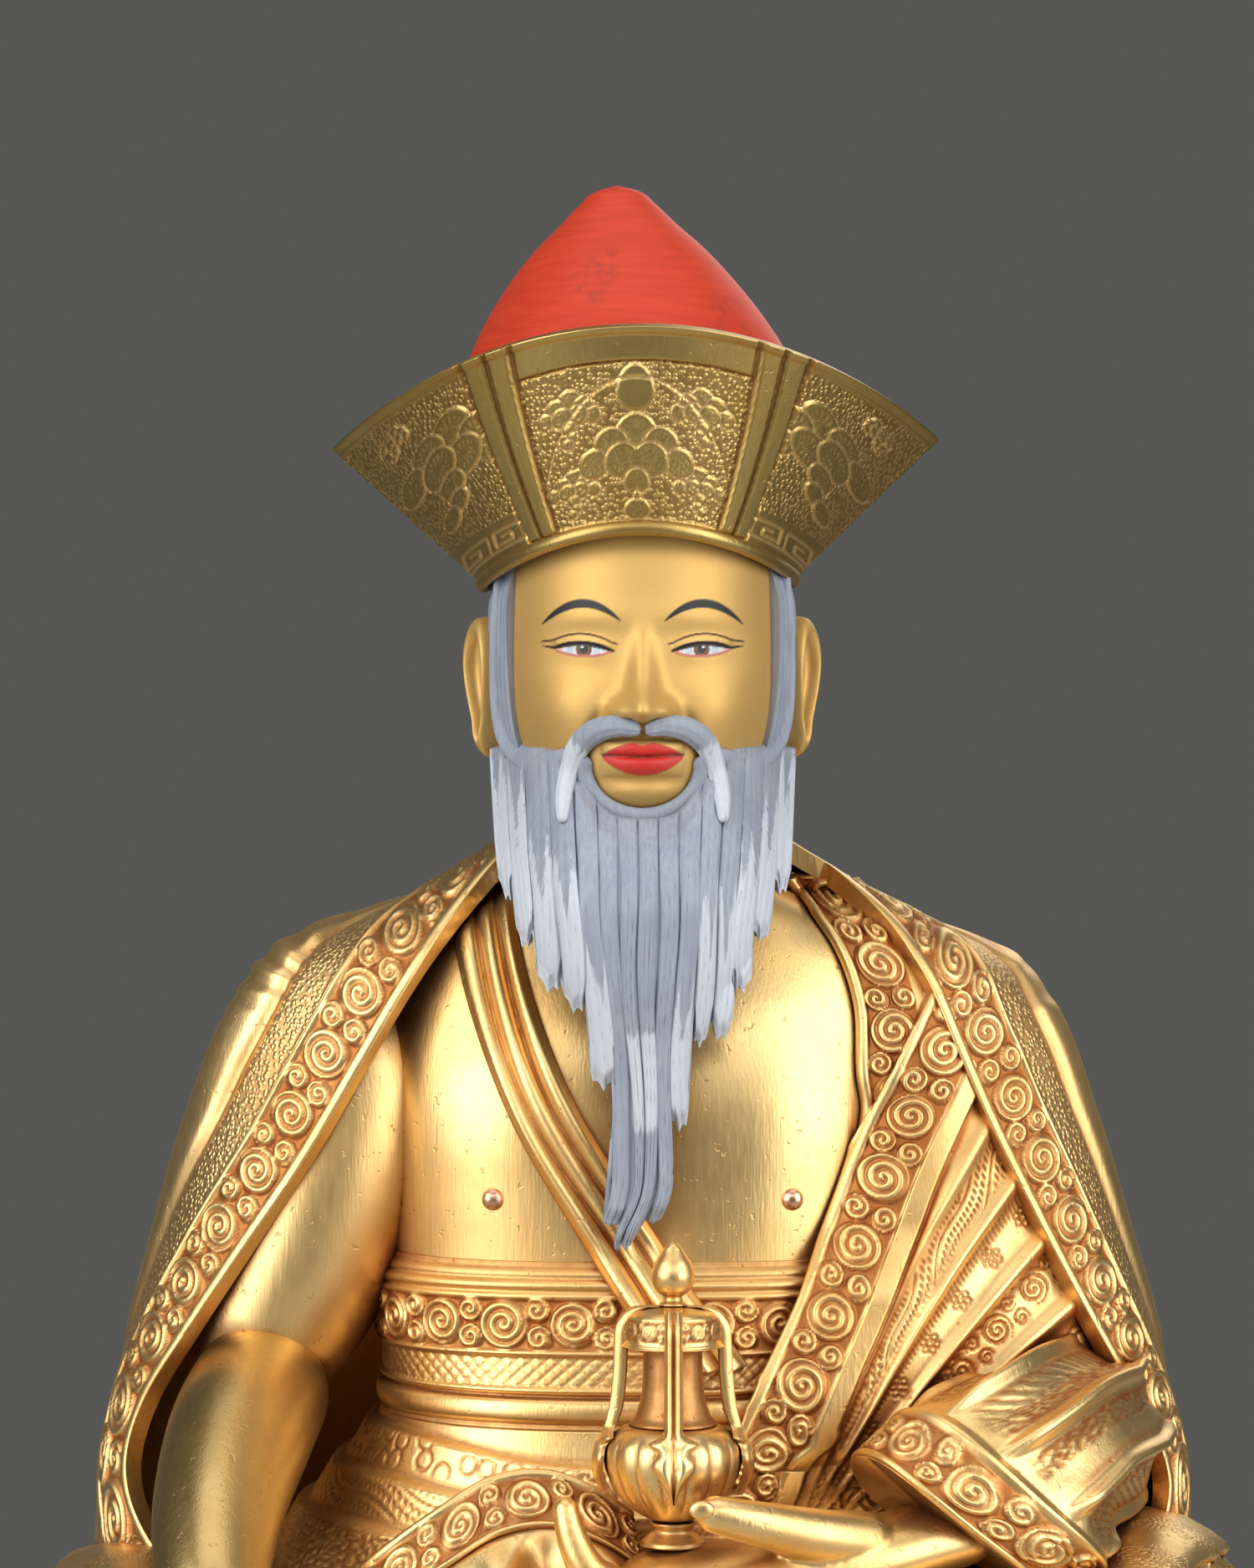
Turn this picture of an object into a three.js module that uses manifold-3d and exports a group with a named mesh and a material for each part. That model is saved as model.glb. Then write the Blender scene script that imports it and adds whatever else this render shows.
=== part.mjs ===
// A gilded, hollow-cast seated figure on an oval lotus base. It wears a flared hat with a red crown,
// a long painted beard and an open cloak, and holds a lidded vase in the left palm.
// Millimetres, +Z up, the figure faces -Y, and the origin is the centre of the base's underside.

import * as THREE from "three";
import { mergeVertices } from "three/addons/utils/BufferGeometryUtils.js";
import Module from "manifold-3d";

const wasm = await Module();
wasm.setup();

// Driving dimensions.
const BASE_HEIGHT = 60;
const BASE_HALF_WIDTH = 122;
const BASE_HALF_DEPTH = 84;
const FIGURE_BACK = 18; // how far the body's axis stands behind the base's centre
const CASTING_WALL = 2.5;
const SHEET_WALL = 1.6; // raised sheet, as in the hat
const GAP = 0.3; // clearance between pieces that meet
const CLOAK_THICKNESS = 2.5;
const ROBE_THICKNESS = 2.4;
const STRAP_THICKNESS = 2.6;
const BAND_THICKNESS = 2;
const BELT_THICKNESS = 3;
const HEAD_HALF_WIDTH = 26;
const HEAD_FRONT = 37;
const HEAD_BACK = 26;
const HAT_EASE = 1.1; // room between the head and the hat
const VASE_BELLY_RADIUS = 11.3;
const RIVET_RADIUS = 1.3;
const PETALS = 22;

// Heights on the figure, above the seat.
const LAP_TOP = 42;
const TORSO_FOOT = LAP_TOP + GAP;
const NECK_TOP = 172;
const CHIN = 174;
const HAT_LINE = 224; // the hat's lower edge over the forehead
const PALM_TOP = 53.4;

const { lerp, degToRad, smoothstep } = THREE.MathUtils;

// Materials.
function metal(color, roughness) {
  return new THREE.MeshStandardMaterial({ color, roughness, metalness: 1 });
}
function paint(color, roughness) {
  return new THREE.MeshStandardMaterial({ color, roughness, metalness: 0 });
}
const gilding = metal(0xd9a441, 0.32);
const oldGilding = metal(0xa9803a, 0.38);
const satinGilding = metal(0xe0b050, 0.5);
const bareCopper = metal(0xb8734a, 0.35);
const redPaint = paint(0xd0301e, 0.45);
const beardPaint = paint(0x98a3b5, 0.6);
const sheetCopper = metal(0xa9603a, 0.45);

// ---- Making solids ----

// Moves every vertex of a three.js geometry by a formula.
function bend(geometry, place) {
  const position = geometry.getAttribute("position");
  const point = new THREE.Vector3();
  for (let i = 0; i < position.count; i++) {
    point.fromBufferAttribute(position, i);
    position.setXYZ(i, ...place(point.x, point.y, point.z));
  }
  return geometry;
}

function enclosedVolume(vertices, triangles) {
  const [a, b, c] = [new THREE.Vector3(), new THREE.Vector3(), new THREE.Vector3()];
  let volume = 0;
  for (let i = 0; i < triangles.length; i += 3) {
    a.fromArray(vertices, 3 * triangles[i]);
    b.fromArray(vertices, 3 * triangles[i + 1]);
    c.fromArray(vertices, 3 * triangles[i + 2]);
    volume += a.dot(b.cross(c)) / 6;
  }
  return volume;
}

// A closed geometry as a manifold-3d solid. A bend that mirrors it turns its faces round again.
function solid(geometry) {
  const bare = geometry.clone().deleteAttribute("normal").deleteAttribute("uv");
  const merged = mergeVertices(bare, 1e-3);
  const vertProperties = merged.getAttribute("position").array;
  const triVerts = new Uint32Array(merged.index.array);
  if (enclosedVolume(vertProperties, triVerts) < 0) triVerts.reverse();
  return new wasm.Manifold(new wasm.Mesh({ numProp: 3, vertProperties, triVerts }));
}

function geometryOf(form) {
  const { vertProperties, triVerts } = form.getMesh();
  const geometry = new THREE.BufferGeometry();
  geometry.setAttribute("position", new THREE.BufferAttribute(vertProperties, 3));
  geometry.setIndex(new THREE.BufferAttribute(triVerts, 1));
  geometry.computeVertexNormals();
  return geometry;
}

function joined(forms) {
  return forms.reduce((whole, form) => whole.add(form));
}

function cut(form, neighbours) {
  return neighbours.reduce((left, neighbour) => left.subtract(neighbour), form);
}

// The main body of a form whose cut left chips beyond its edge.
function mainBody(form) {
  return form.decompose().sort((a, b) => b.volume() - a.volume())[0];
}

// Smooth values by height from rows of [height, value, value, ...].
function byHeight(rows) {
  const keys = rows.map((row) => row[0]);
  const channels = rows[0].length - 1;
  const curve = new THREE.CubicInterpolant(keys, rows.flatMap((row) => row.slice(1)), channels);
  return (height) => {
    const within = Math.min(Math.max(height, keys[0]), keys[keys.length - 1]);
    return [...curve.evaluate(within)].slice(0, channels);
  };
}

// A point of a rounded outline: angle 0 is the front, and +X is at a quarter turn.
function outline(angle, halfWidth, front, back, squareness) {
  const [s, c] = [Math.sin(angle), Math.cos(angle)];
  const power = 2 / squareness;
  const x = halfWidth * Math.sign(s) * Math.abs(s) ** power;
  const y = -(c > 0 ? front : back) * Math.sign(c) * Math.abs(c) ** power;
  return [x, y];
}

// The y of an outline's front at a given x.
function frontAt(x, halfWidth, front, squareness) {
  const share = Math.min(Math.abs(x) / halfWidth, 1);
  return -front * (1 - share ** squareness) ** (1 / squareness);
}

// A solid of stacked outlines: a closed cylinder bent to [halfWidth, front, back] at each height.
function stack({ bottom, top, rows, columns, section, squareness = 2.3, grow = 0 }) {
  const cylinder = new THREE.CylinderGeometry(1, 1, 1, columns, rows);
  return solid(
    bend(cylinder, (x, y, z) => {
      const height = lerp(bottom, top, y + 0.5);
      const reach = Math.hypot(x, z);
      const [halfWidth, front, back] = section(height).map((size) => size + grow);
      const rim = outline(Math.atan2(x, z), halfWidth, front, back, squareness);
      return [rim[0] * reach, rim[1] * reach, height];
    }),
  );
}

// A round bar with rounded ends, through stations of [x, y, z, radius]. flat thins it along `side`.
function limb(stations, { grow = 0, columns = 10, rows = 8, side = [1, 0, 0], flat = 1 } = {}) {
  const curve = new THREE.CatmullRomCurve3(stations.map((s) => new THREE.Vector3(s[0], s[1], s[2])));
  const radiusAt = byHeight(stations.map((s, i) => [i / (stations.length - 1), s[3]]));
  const length = curve.getLength();
  const roundness = 0.16;
  return solid(
    bend(new THREE.CylinderGeometry(1, 1, 1, columns, rows), (x, y, z) => {
      const along = 0.5 - 0.5 * Math.cos(Math.PI * (y + 0.5));
      const tangent = curve.getTangent(along);
      const thin = new THREE.Vector3(...side);
      thin.addScaledVector(tangent, -thin.dot(tangent)).normalize();
      const wide = thin.clone().cross(tangent);
      const radius = radiusAt(along)[0];
      const fromEnd = Math.min(1, (length * Math.min(along, 1 - along)) / radius);
      const rounded = Math.sqrt(Math.max(roundness, 1 - (1 - fromEnd) ** 2));
      return curve
        .getPoint(along)
        .addScaledVector(tangent, grow * (2 * along - 1))
        .addScaledVector(thin, x * (radius * rounded * flat + grow))
        .addScaledVector(wide, z * (radius * rounded + grow))
        .toArray();
    }),
  );
}

// A sheet: a unit box whose u runs across, v up and w through the thickness, each from 0 to 1.
function sheet(columns, rows, place) {
  const box = new THREE.BoxGeometry(1, 1, 1, columns, rows, 1);
  return solid(bend(box, (x, y, z) => place(x + 0.5, y + 0.5, z + 0.5)));
}

// A turned solid about the vertical axis, from a closed or axis-to-axis profile of [radius, height].
function turned(profile, columns) {
  const points = profile.map(([radius, height]) => new THREE.Vector2(radius, height));
  return solid(new THREE.LatheGeometry(points, columns).rotateX(Math.PI / 2));
}

function block(width, depth, height, centre) {
  return solid(new THREE.BoxGeometry(width, depth, height).translate(...centre));
}

// ---- The assembly ----

const figure = new THREE.Group();
figure.position.set(0, FIGURE_BACK, BASE_HEIGHT);
const base = new THREE.Group();
const whole = new THREE.Group();
whole.add(base, figure);

function piece(name, form, material, group = figure) {
  const mesh = new THREE.Mesh(geometryOf(form), material);
  mesh.name = name;
  group.add(mesh);
  return mesh;
}

// ---- Base ----

// A ring round the oval, from a closed profile of [offset from the outline, height].
const BASE_SQUARENESS = 2.2;

function ovalRing(profile, columns, swell = () => 0) {
  const points = profile.map(([offset, height]) => new THREE.Vector2(BASE_HALF_WIDTH + offset, height));
  return solid(
    bend(new THREE.LatheGeometry(points, columns), (x, y, z) => {
      const angle = Math.atan2(x, z);
      const offset = Math.hypot(x, z) - BASE_HALF_WIDTH + swell(angle);
      const [halfWidth, halfDepth] = [BASE_HALF_WIDTH + offset, BASE_HALF_DEPTH + offset];
      return [...outline(angle, halfWidth, halfDepth, halfDepth, BASE_SQUARENESS), y];
    }),
  );
}

function ovalPlate(offset, bottom, top, columns) {
  const section = () => [BASE_HALF_WIDTH + offset, BASE_HALF_DEPTH + offset, BASE_HALF_DEPTH + offset];
  return stack({ bottom, top, rows: 1, columns, section, squareness: BASE_SQUARENESS });
}

// A cast ring of even wall: its outer profile from the foot up, and the same points stepped in.
function wallRing(outer, columns, swell) {
  const inner = outer.map(([offset, height]) => [offset - CASTING_WALL, height]).reverse();
  return ovalRing([...outer, ...inner, outer[0]], columns, swell);
}

function buildBase() {
  const footTop = 0.15 * BASE_HEIGHT;
  const waistFoot = 0.45 * BASE_HEIGHT;
  const waistTop = 0.55 * BASE_HEIGHT;
  const seatFoot = BASE_HEIGHT - GAP - CASTING_WALL;
  const footWidth = 22;
  const plateLift = 2;
  const petalDepth = 2.4;
  const columns = PETALS * 2;
  const petalSwell = (angle) => petalDepth * (Math.abs(Math.cos((angle * PETALS) / 2)) - 1);

  const foot = [
    [-footWidth, 0],
    [0, 0],
    [0, 0.6 * footTop],
    [-4, footTop],
    [-4 - CASTING_WALL, footTop],
    [-1 - 2 * CASTING_WALL, CASTING_WALL],
    [-footWidth, CASTING_WALL],
    [-footWidth, 0],
  ];
  piece("base_foot", ovalRing(foot, 36), gilding, base);
  const lower = [
    [-3, footTop + GAP],
    [-2, lerp(footTop, waistFoot, 0.5)],
    [-14, waistFoot - GAP],
  ];
  piece("lower_petals", wallRing(lower, columns, petalSwell), gilding, base);
  piece("base_waist", wallRing([[-15, waistFoot], [-15, waistTop]], 36), gilding, base);
  const upper = [
    [-14, waistTop + GAP],
    [-2, lerp(waistTop, seatFoot, 0.5)],
    [-3, seatFoot - GAP],
  ];
  piece("upper_petals", wallRing(upper, columns, petalSwell), gilding, base);
  piece("seat_plate", ovalPlate(-5, seatFoot, BASE_HEIGHT - GAP, 36), gilding, base);
  piece("sealing_plate", ovalPlate(-footWidth - GAP, plateLift, plateLift + SHEET_WALL, 36), sheetCopper, base);
}

// ---- Body ----

const torsoSection = byHeight([
  [TORSO_FOOT, 44, 36, 26],
  [60, 45, 38, 25],
  [75, 44.5, 37, 24],
  [90, 45.5, 34, 25],
  [108, 47, 32.5, 27],
  [125, 48.5, 31, 28],
  [140, 48, 27.5, 27.5],
  [148, 46, 24, 25.5],
  [152.5, 42, 22, 24],
  [156.5, 35, 20, 21.5],
  [160, 27.5, 18, 19],
  [163.5, 20.5, 16, 16.5],
  [167, 15.5, 14.5, 14.8],
  [NECK_TOP, 14, 13.5, 14],
]);
const TORSO_SQUARENESS = 2.4;

function torsoFront(x, height) {
  const [halfWidth, front] = torsoSection(height);
  return frontAt(x, halfWidth, front, TORSO_SQUARENESS);
}

function torsoForm(grow) {
  const shape = { bottom: TORSO_FOOT, top: NECK_TOP, rows: 10, columns: 20 };
  return stack({ ...shape, section: torsoSection, squareness: TORSO_SQUARENESS, grow });
}

function torsoHollow() {
  const shape = { bottom: TORSO_FOOT - 1, top: NECK_TOP + 1, rows: 6, columns: 12 };
  return stack({ ...shape, section: torsoSection, squareness: TORSO_SQUARENESS, grow: -CASTING_WALL });
}

// A slice of the space round the torso, from one height to another.
function roundTorso(bottom, top, reach) {
  return torsoForm(reach).intersect(block(300, 300, top - bottom, [0, 0, (top + bottom) / 2]));
}

const lapSection = byHeight([
  [0, 112, 84, 38],
  [12, 116, 88, 40],
  [26, 114, 86, 40],
  [36, 102, 76, 37],
  [LAP_TOP, 84, 66, 33],
]);

const LAP_SQUARENESS = 2.6;

function lapForm(grow) {
  const shape = { bottom: 0, top: LAP_TOP + grow, rows: 4, columns: 24 };
  return stack({ ...shape, section: lapSection, squareness: LAP_SQUARENESS, grow });
}

function lapHollow() {
  const shape = { bottom: -1, top: LAP_TOP - CASTING_WALL, rows: 2, columns: 16 };
  return stack({ ...shape, section: lapSection, squareness: LAP_SQUARENESS, grow: -CASTING_WALL });
}

const SHOULDER = 134;
const ELBOW = 74;
const rightUpperArm = [
  [-47, 0, SHOULDER, 14],
  [-57, 0, 112, 16],
  [-66, 0, 92, 15.5],
  [-71, -1, ELBOW + 4, 14.8],
  [-72, -2, ELBOW - 9, 12],
];
const rightForearm = [
  [-72, 8, ELBOW + 1, 14],
  [-72, -6, ELBOW - 2, 14],
  [-72, -24, ELBOW - 9, 13],
  [-70, -44, ELBOW - 18, 10.5],
  [-68, -60, ELBOW - 26, 8.5],
];
const leftArm = [
  [47, 0, SHOULDER, 14],
  [62, 0, 104, 17],
  [74, 0, ELBOW + 2, 18],
  [68, -26, ELBOW - 8, 17],
  [52, -44, ELBOW - 16, 12],
];
const upperArmForm = (grow) => limb(rightUpperArm, { grow, columns: 10, rows: 6 });
const forearmForm = (grow) => limb(rightForearm, { grow, columns: 10, rows: 6 });
const sleeveForm = (grow) => limb(leftArm, { grow, columns: 12, rows: 8 });

function rightHandForm(grow) {
  const options = { grow, columns: 6, rows: 4 };
  const palm = limb([[-68, -63, 46.5, 8], [-67, -76, 38, 10], [-66.5, -85, 26, 9.5]], { ...options, side: [0, 0.6, 0.8], flat: 0.5 });
  const fingers = [-75, -69.5, -64, -58.5].map((x, i) => {
    const length = [20, 24, 23, 19][i];
    return limb([[x, -84, 28, 3.2], [x * 0.99, -88.5, 28 - length / 2, 3], [x * 0.98, -89, 28 - length, 2.4]], options);
  });
  const thumb = limb([[-59, -72, 42, 3.8], [-54, -79, 34, 3.4], [-52, -84, 25, 2.8]], options);
  return joined([palm, ...fingers, thumb]);
}

// The vase stands on the palm, on this axis.
const VASE_X = 4.9;
const VASE_Y = -62;

function leftHandForm(grow) {
  const options = { grow, columns: 6, rows: 4 };
  const palmHeight = PALM_TOP - 6;
  const palm = limb(
    [[46, -50, palmHeight, 7], [30, -57, palmHeight, 9.5], [8, -61, palmHeight, 11], [-6, -62, palmHeight, 9]],
    { ...options, columns: 8, rows: 6, side: [0, 0, 1], flat: 0.53 },
  );
  const fingers = [-70, -64.5, -59, -53.5].map((y, i) => {
    const reach = [-20, -26, -26, -22][i];
    const lift = [4, 1, 0, 0][i];
    return limb([[-4, y, palmHeight, 3.4], [reach * 0.6, y, palmHeight + lift * 0.4, 3.1], [reach, y, palmHeight + lift, 2.5]], {
      ...options,
      side: [0, 0, 1],
    });
  });
  const clear = VASE_BELLY_RADIUS + 4.5;
  const curled = limb(
    [[-6, -68, palmHeight + 3, 3.2], [VASE_X - clear + 1, -67, PALM_TOP + 4, 3], [VASE_X - clear - 1.5, -65, PALM_TOP + 11, 2.1]],
    { ...options, side: [0, 1, 0] },
  );
  const thumbBack = VASE_Y - VASE_BELLY_RADIUS - 1;
  const thumb = limb(
    [[33, -66, PALM_TOP - 4, 5], [22, -71, PALM_TOP + 3, 4.2], [VASE_X + 6, thumbBack, PALM_TOP + 7.5, 3.2]],
    { ...options, side: [0, 0, 1] },
  );
  return joined([palm, ...fingers, curled, thumb]);
}

// ---- Garments ----

const cloakSection = byHeight([
  [2, 100, 52, 50],
  [20, 99, 51, 49.5],
  [48, 98, 50, 48.5],
  [59, 97.5, 48, 47.5],
  [80, 92.5, 44, 45.5],
  [100, 86, 39, 44],
  [120, 79.5, 35, 42],
  [140, 71.5, 31, 39],
  [150, 62.5, 28, 36],
  [156, 50, 25.5, 33],
  [161, 39.5, 23, 29.5],
  [166, 30.5, 21, 26],
  [171, 22.5, 18, 21],
]);
// Where the cloak's front edge lies, in degrees round from the front.
const cloakEdge = byHeight([
  [2, 66],
  [48, 61],
  [59, 66],
  [72, 66],
  [83, 58],
  [92, 53],
  [107, 46],
  [124, 42],
  [139, 40],
  [148, 42],
  [157, 46],
  [166, 56],
  [171, 70],
]);
const CLOAK_SQUARENESS = 2.1;
const CLOAK_TOP = 171;
const CLOAK_FRONT_HEM = 46;
const CLOAK_BACK_HEM = 2;

function cloakPoint(u, v, depth) {
  const fromBack = Math.abs(2 * u - 1);
  const hem = lerp(CLOAK_BACK_HEM, CLOAK_FRONT_HEM, smoothstep(fromBack, 0.25, 0.62));
  const height = lerp(hem, CLOAK_TOP, v);
  const edge = degToRad(cloakEdge(height)[0]);
  const angle = lerp(edge, 2 * Math.PI - edge, u);
  const sizes = cloakSection(height).map((size) => size - depth);
  return [...outline(angle, ...sizes, CLOAK_SQUARENESS), height];
}

function cloakForm(grow) {
  return sheet(20, 8, (u, v, w) => cloakPoint(u, v, lerp(-grow, CLOAK_THICKNESS + grow, w)));
}

// The robe's inner edge on the chest, then down across the waist.
const robeEdge = byHeight([
  [50, 8],
  [60, 12],
  [67.6, 15.9],
  [74.7, 18.8],
  [84, 24],
  [91, 27.6],
  [100, 31.2],
  [113, 36.3],
  [123, 38.6],
  [129, 37.8],
  [141.6, 37.3],
  [151.6, 33.8],
  [158, 29],
]);
const BAND_FOOT = 73.5;
const BAND_TOP = 92;
const BELT_FOOT = 69;

// How far a garment lies off the torso: close on the chest, and over the belt at the waist.
function offTorso(height) {
  return lerp(BELT_THICKNESS + 2 * GAP, GAP, smoothstep(height, BAND_TOP - 2, BAND_TOP + 8));
}

function robeForm() {
  const bottom = 52;
  const top = 156;
  const tuck = 6;
  return sheet(6, 12, (u, v, w) => {
    const height = lerp(bottom, top, v);
    const [halfWidth, front] = cloakSection(height);
    const edge = degToRad(cloakEdge(height)[0]);
    const outer = outline(edge, halfWidth, front, front, CLOAK_SQUARENESS)[0] + tuck;
    const inner = Math.min(robeEdge(height)[0], outer - 4);
    const x = lerp(inner, outer, u);
    const inset = CLOAK_THICKNESS + GAP;
    const under = frontAt(x, halfWidth - inset, front - inset, CLOAK_SQUARENESS);
    const over = torsoFront(x, height) - offTorso(height) - ROBE_THICKNESS;
    return [x, lerp(over, under, smoothstep(u, 0, 0.7)) + ROBE_THICKNESS * w, height];
  });
}

// The strap's centre line down the chest.
const strapLine = byHeight([
  [80, 11.2],
  [91, 3],
  [106, -7],
  [123, -17],
  [142, -24.6],
  [156, -28],
]);

function strapForm() {
  const halfWidth = 4.7;
  return sheet(2, 12, (u, v, w) => {
    const height = lerp(80, 156, v);
    const x = strapLine(height)[0] + lerp(-halfWidth, halfWidth, u);
    const off = lerp(BAND_THICKNESS + 2 * GAP, GAP, smoothstep(height, BAND_TOP, BAND_TOP + 6));
    return [x, torsoFront(x, height) - off - STRAP_THICKNESS * (1 - w), height];
  });
}

function bandForm(bottom, top, thickness) {
  return roundTorso(bottom, top, GAP + thickness).subtract(torsoForm(GAP));
}

function beltRoom() {
  return joined([
    roundTorso(BELT_FOOT - GAP, BAND_FOOT, BELT_THICKNESS + 2 * GAP),
    roundTorso(BAND_FOOT - GAP, BAND_TOP + GAP, BAND_THICKNESS + 2 * GAP),
  ]);
}

// The skirt of the robe, flaring from the belt down to the lap.
const SKIRT_FLARE = 10;
function skirtForm(grow) {
  const foot = LAP_TOP + GAP;
  const top = BELT_FOOT - GAP;
  const flare = (height) => ROBE_THICKNESS + SKIRT_FLARE * smoothstep(top - height, 0, top - foot);
  const section = (height) => torsoSection(height).map((size) => size + flare(height) + grow);
  const shape = { bottom: Math.min(foot, foot + grow), top: top + grow, rows: 3, columns: 20 };
  return stack({ ...shape, section, squareness: TORSO_SQUARENESS });
}

// ---- Head ----

const headSection = byHeight([
  [NECK_TOP + GAP, 14, 13.5, 14],
  [CHIN + 1.5, 15, 16, 14.5],
  [CHIN + 3, 0.7 * HEAD_HALF_WIDTH, 0.72 * HEAD_FRONT, 0.6 * HEAD_BACK],
  [CHIN + 8, 0.86 * HEAD_HALF_WIDTH, 0.89 * HEAD_FRONT, 0.7 * HEAD_BACK],
  [CHIN + 16, 0.96 * HEAD_HALF_WIDTH, 0.97 * HEAD_FRONT, 0.85 * HEAD_BACK],
  [CHIN + 26, HEAD_HALF_WIDTH, HEAD_FRONT, 0.94 * HEAD_BACK],
  [CHIN + 38, HEAD_HALF_WIDTH, 0.98 * HEAD_FRONT, HEAD_BACK],
  [CHIN + 46, 0.97 * HEAD_HALF_WIDTH, 0.95 * HEAD_FRONT, 0.985 * HEAD_BACK],
  [HAT_LINE + 2, 0.9 * HEAD_HALF_WIDTH, 0.9 * HEAD_FRONT, 0.92 * HEAD_BACK],
  [HAT_LINE + 12, 0.73 * HEAD_HALF_WIDTH, 0.76 * HEAD_FRONT, 0.77 * HEAD_BACK],
  [HAT_LINE + 19, 0.45 * HEAD_HALF_WIDTH, 0.5 * HEAD_FRONT, 0.47 * HEAD_BACK],
  [HAT_LINE + 22, 0.15 * HEAD_HALF_WIDTH, 0.18 * HEAD_FRONT, 0.15 * HEAD_BACK],
]);
const HEAD_SQUARENESS = 2.2;
const HEAD_WALL = 2.5;

function headForm(grow) {
  const shape = { bottom: NECK_TOP + GAP, top: HAT_LINE + 22, rows: 12, columns: 18 };
  return stack({ ...shape, section: headSection, squareness: HEAD_SQUARENESS, grow });
}

function headHollow() {
  const shape = { bottom: CHIN + 3, top: HAT_LINE + 18, rows: 5, columns: 12 };
  return stack({ ...shape, section: headSection, squareness: HEAD_SQUARENESS, grow: -HEAD_WALL });
}

// An ear: a long flattened oval at the side of the head.
function earForm(side, grow) {
  const ear = new THREE.SphereGeometry(1, 8, 6);
  ear.scale(4 + grow, 6.5 + grow, 13.5 + grow).translate(side * (HEAD_HALF_WIDTH + 1.6), -1, CHIN + 23);
  return solid(ear);
}

const SLEEVE_RADIUS = 14 - CASTING_WALL - GAP;
const SLEEVE_FOOT = NECK_TOP - 10;
const RIVET_HEIGHT = NECK_TOP - 4;

function rivetForm(side, grow) {
  const [inside, outside] = [SLEEVE_RADIUS - CASTING_WALL - 1, 14.6];
  const pin = new THREE.CylinderGeometry(RIVET_RADIUS + grow, RIVET_RADIUS + grow, outside - inside + 2 * grow, 12);
  return solid(pin.rotateZ(Math.PI / 2).translate((side * (inside + outside)) / 2, 0, RIVET_HEIGHT));
}

function buildHead() {
  const sleeveTop = CHIN + 3;
  const sleeve = solid(
    new THREE.CylinderGeometry(SLEEVE_RADIUS, SLEEVE_RADIUS, sleeveTop - SLEEVE_FOOT, 12)
      .rotateX(Math.PI / 2)
      .translate(0, 0, (sleeveTop + SLEEVE_FOOT) / 2),
  );
  const throatRadius = SLEEVE_RADIUS - HEAD_WALL;
  const throat = solid(
    new THREE.CylinderGeometry(throatRadius, throatRadius, 20, 12)
      .rotateX(Math.PI / 2)
      .translate(0, 0, SLEEVE_FOOT + 9),
  );
  const nose = solid(new THREE.SphereGeometry(1, 6, 5).scale(3.6, 5, 7).translate(0, -HEAD_FRONT + 0.8, CHIN + 20.5));
  const outside = joined([headForm(0), earForm(-1, 0), earForm(1, 0), nose, sleeve]);
  const rivets = [-1, 1].map((side) => rivetForm(side, GAP));
  piece("head", cut(outside, [headHollow(), throat, ...rivets]), satinGilding);
  piece("neck_rivet_right", rivetForm(-1, 0), bareCopper);
  piece("neck_rivet_left", rivetForm(1, 0), bareCopper);
}

// The beard by height: half width, the front's y at its middle, and the y at its sides.
const beardShape = byHeight([
  [100.5, 2.2, -41, -40.4],
  [107.7, 4.3, -41, -40.2],
  [120.6, 6, -41, -40],
  [135, 9.7, -42, -40],
  [143.5, 13, -43.5, -40],
  [149, 17.6, -44, -38],
  [155, 21.9, -44.3, -34],
  [160, 24, -44.5, -30],
  [170, 25.2, -44.3, -22],
  [178, 25.6, -42.5, -13],
  [188, HEAD_HALF_WIDTH + 1.4, -HEAD_FRONT - 1.6, -7],
]);

function beardForm(grow) {
  const thickness = 6;
  const tip = 100.5;
  return sheet(10, 9, (u, v, w) => {
    const across = 2 * u - 1;
    const nearMouth = Math.exp(-((across / 0.42) ** 4));
    const top = 188 - 10 * nearMouth;
    const height = lerp(tip - grow, top + grow, v);
    const [halfWidth, middle, side] = beardShape(height);
    const x = across * (halfWidth + grow - w * Math.min(4, 0.3 * halfWidth));
    const y = lerp(middle, side, Math.abs(across) ** 2.6) - grow + w * (thickness + 2 * grow);
    return [x, y, height];
  });
}

function moustacheForm(side) {
  return limb(
    [
      [side * 1.2, -HEAD_FRONT - 3.6, CHIN + 14.6, 1.5],
      [side * 7, -HEAD_FRONT - 4, CHIN + 13.6, 2.1],
      [side * 12, -HEAD_FRONT - 3.8, CHIN + 9, 2],
      [side * 13.4, -HEAD_FRONT - 6, CHIN + 1, 1.2],
    ],
    { columns: 6, rows: 6, side: [0, 1, 0] },
  );
}

// ---- Hat ----

const BRIM_RISE = 33; // from the lower edge to the upper edge over the forehead
const BRIM_TIP = 54; // half the width between the two side points
const BRIM_LOWER_ARCH = 7.5;
const BRIM_UPPER_ARCH = 16;
const brimFoot = HAT_EASE + SHEET_WALL / 2;

// A point of the brim: u from -1 to 1 between the side points, v up, facing -1 for the front panel.
function brimPoint(u, v, facing, outward) {
  const halfWidth = lerp(HEAD_HALF_WIDTH + brimFoot - 0.4, BRIM_TIP, v);
  const lowDepth = (facing < 0 ? HEAD_FRONT : HEAD_BACK) + brimFoot;
  const highDepth = facing < 0 ? 50 : 44;
  const depth = lerp(lowDepth, highDepth, v);
  const roundness = lerp(1 / 2.05, 1 / 1.15, Math.sqrt(v));
  const arch = lerp(BRIM_LOWER_ARCH, BRIM_UPPER_ARCH, v) * u * u;
  const x = halfWidth * u;
  const y = facing * depth * (1 - Math.abs(u) ** 2.25) ** roundness;
  const reach = Math.hypot(x, y) || 1;
  return [x + (outward * x) / reach, y + (outward * y) / reach, HAT_LINE + BRIM_RISE * v - arch];
}

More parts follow.
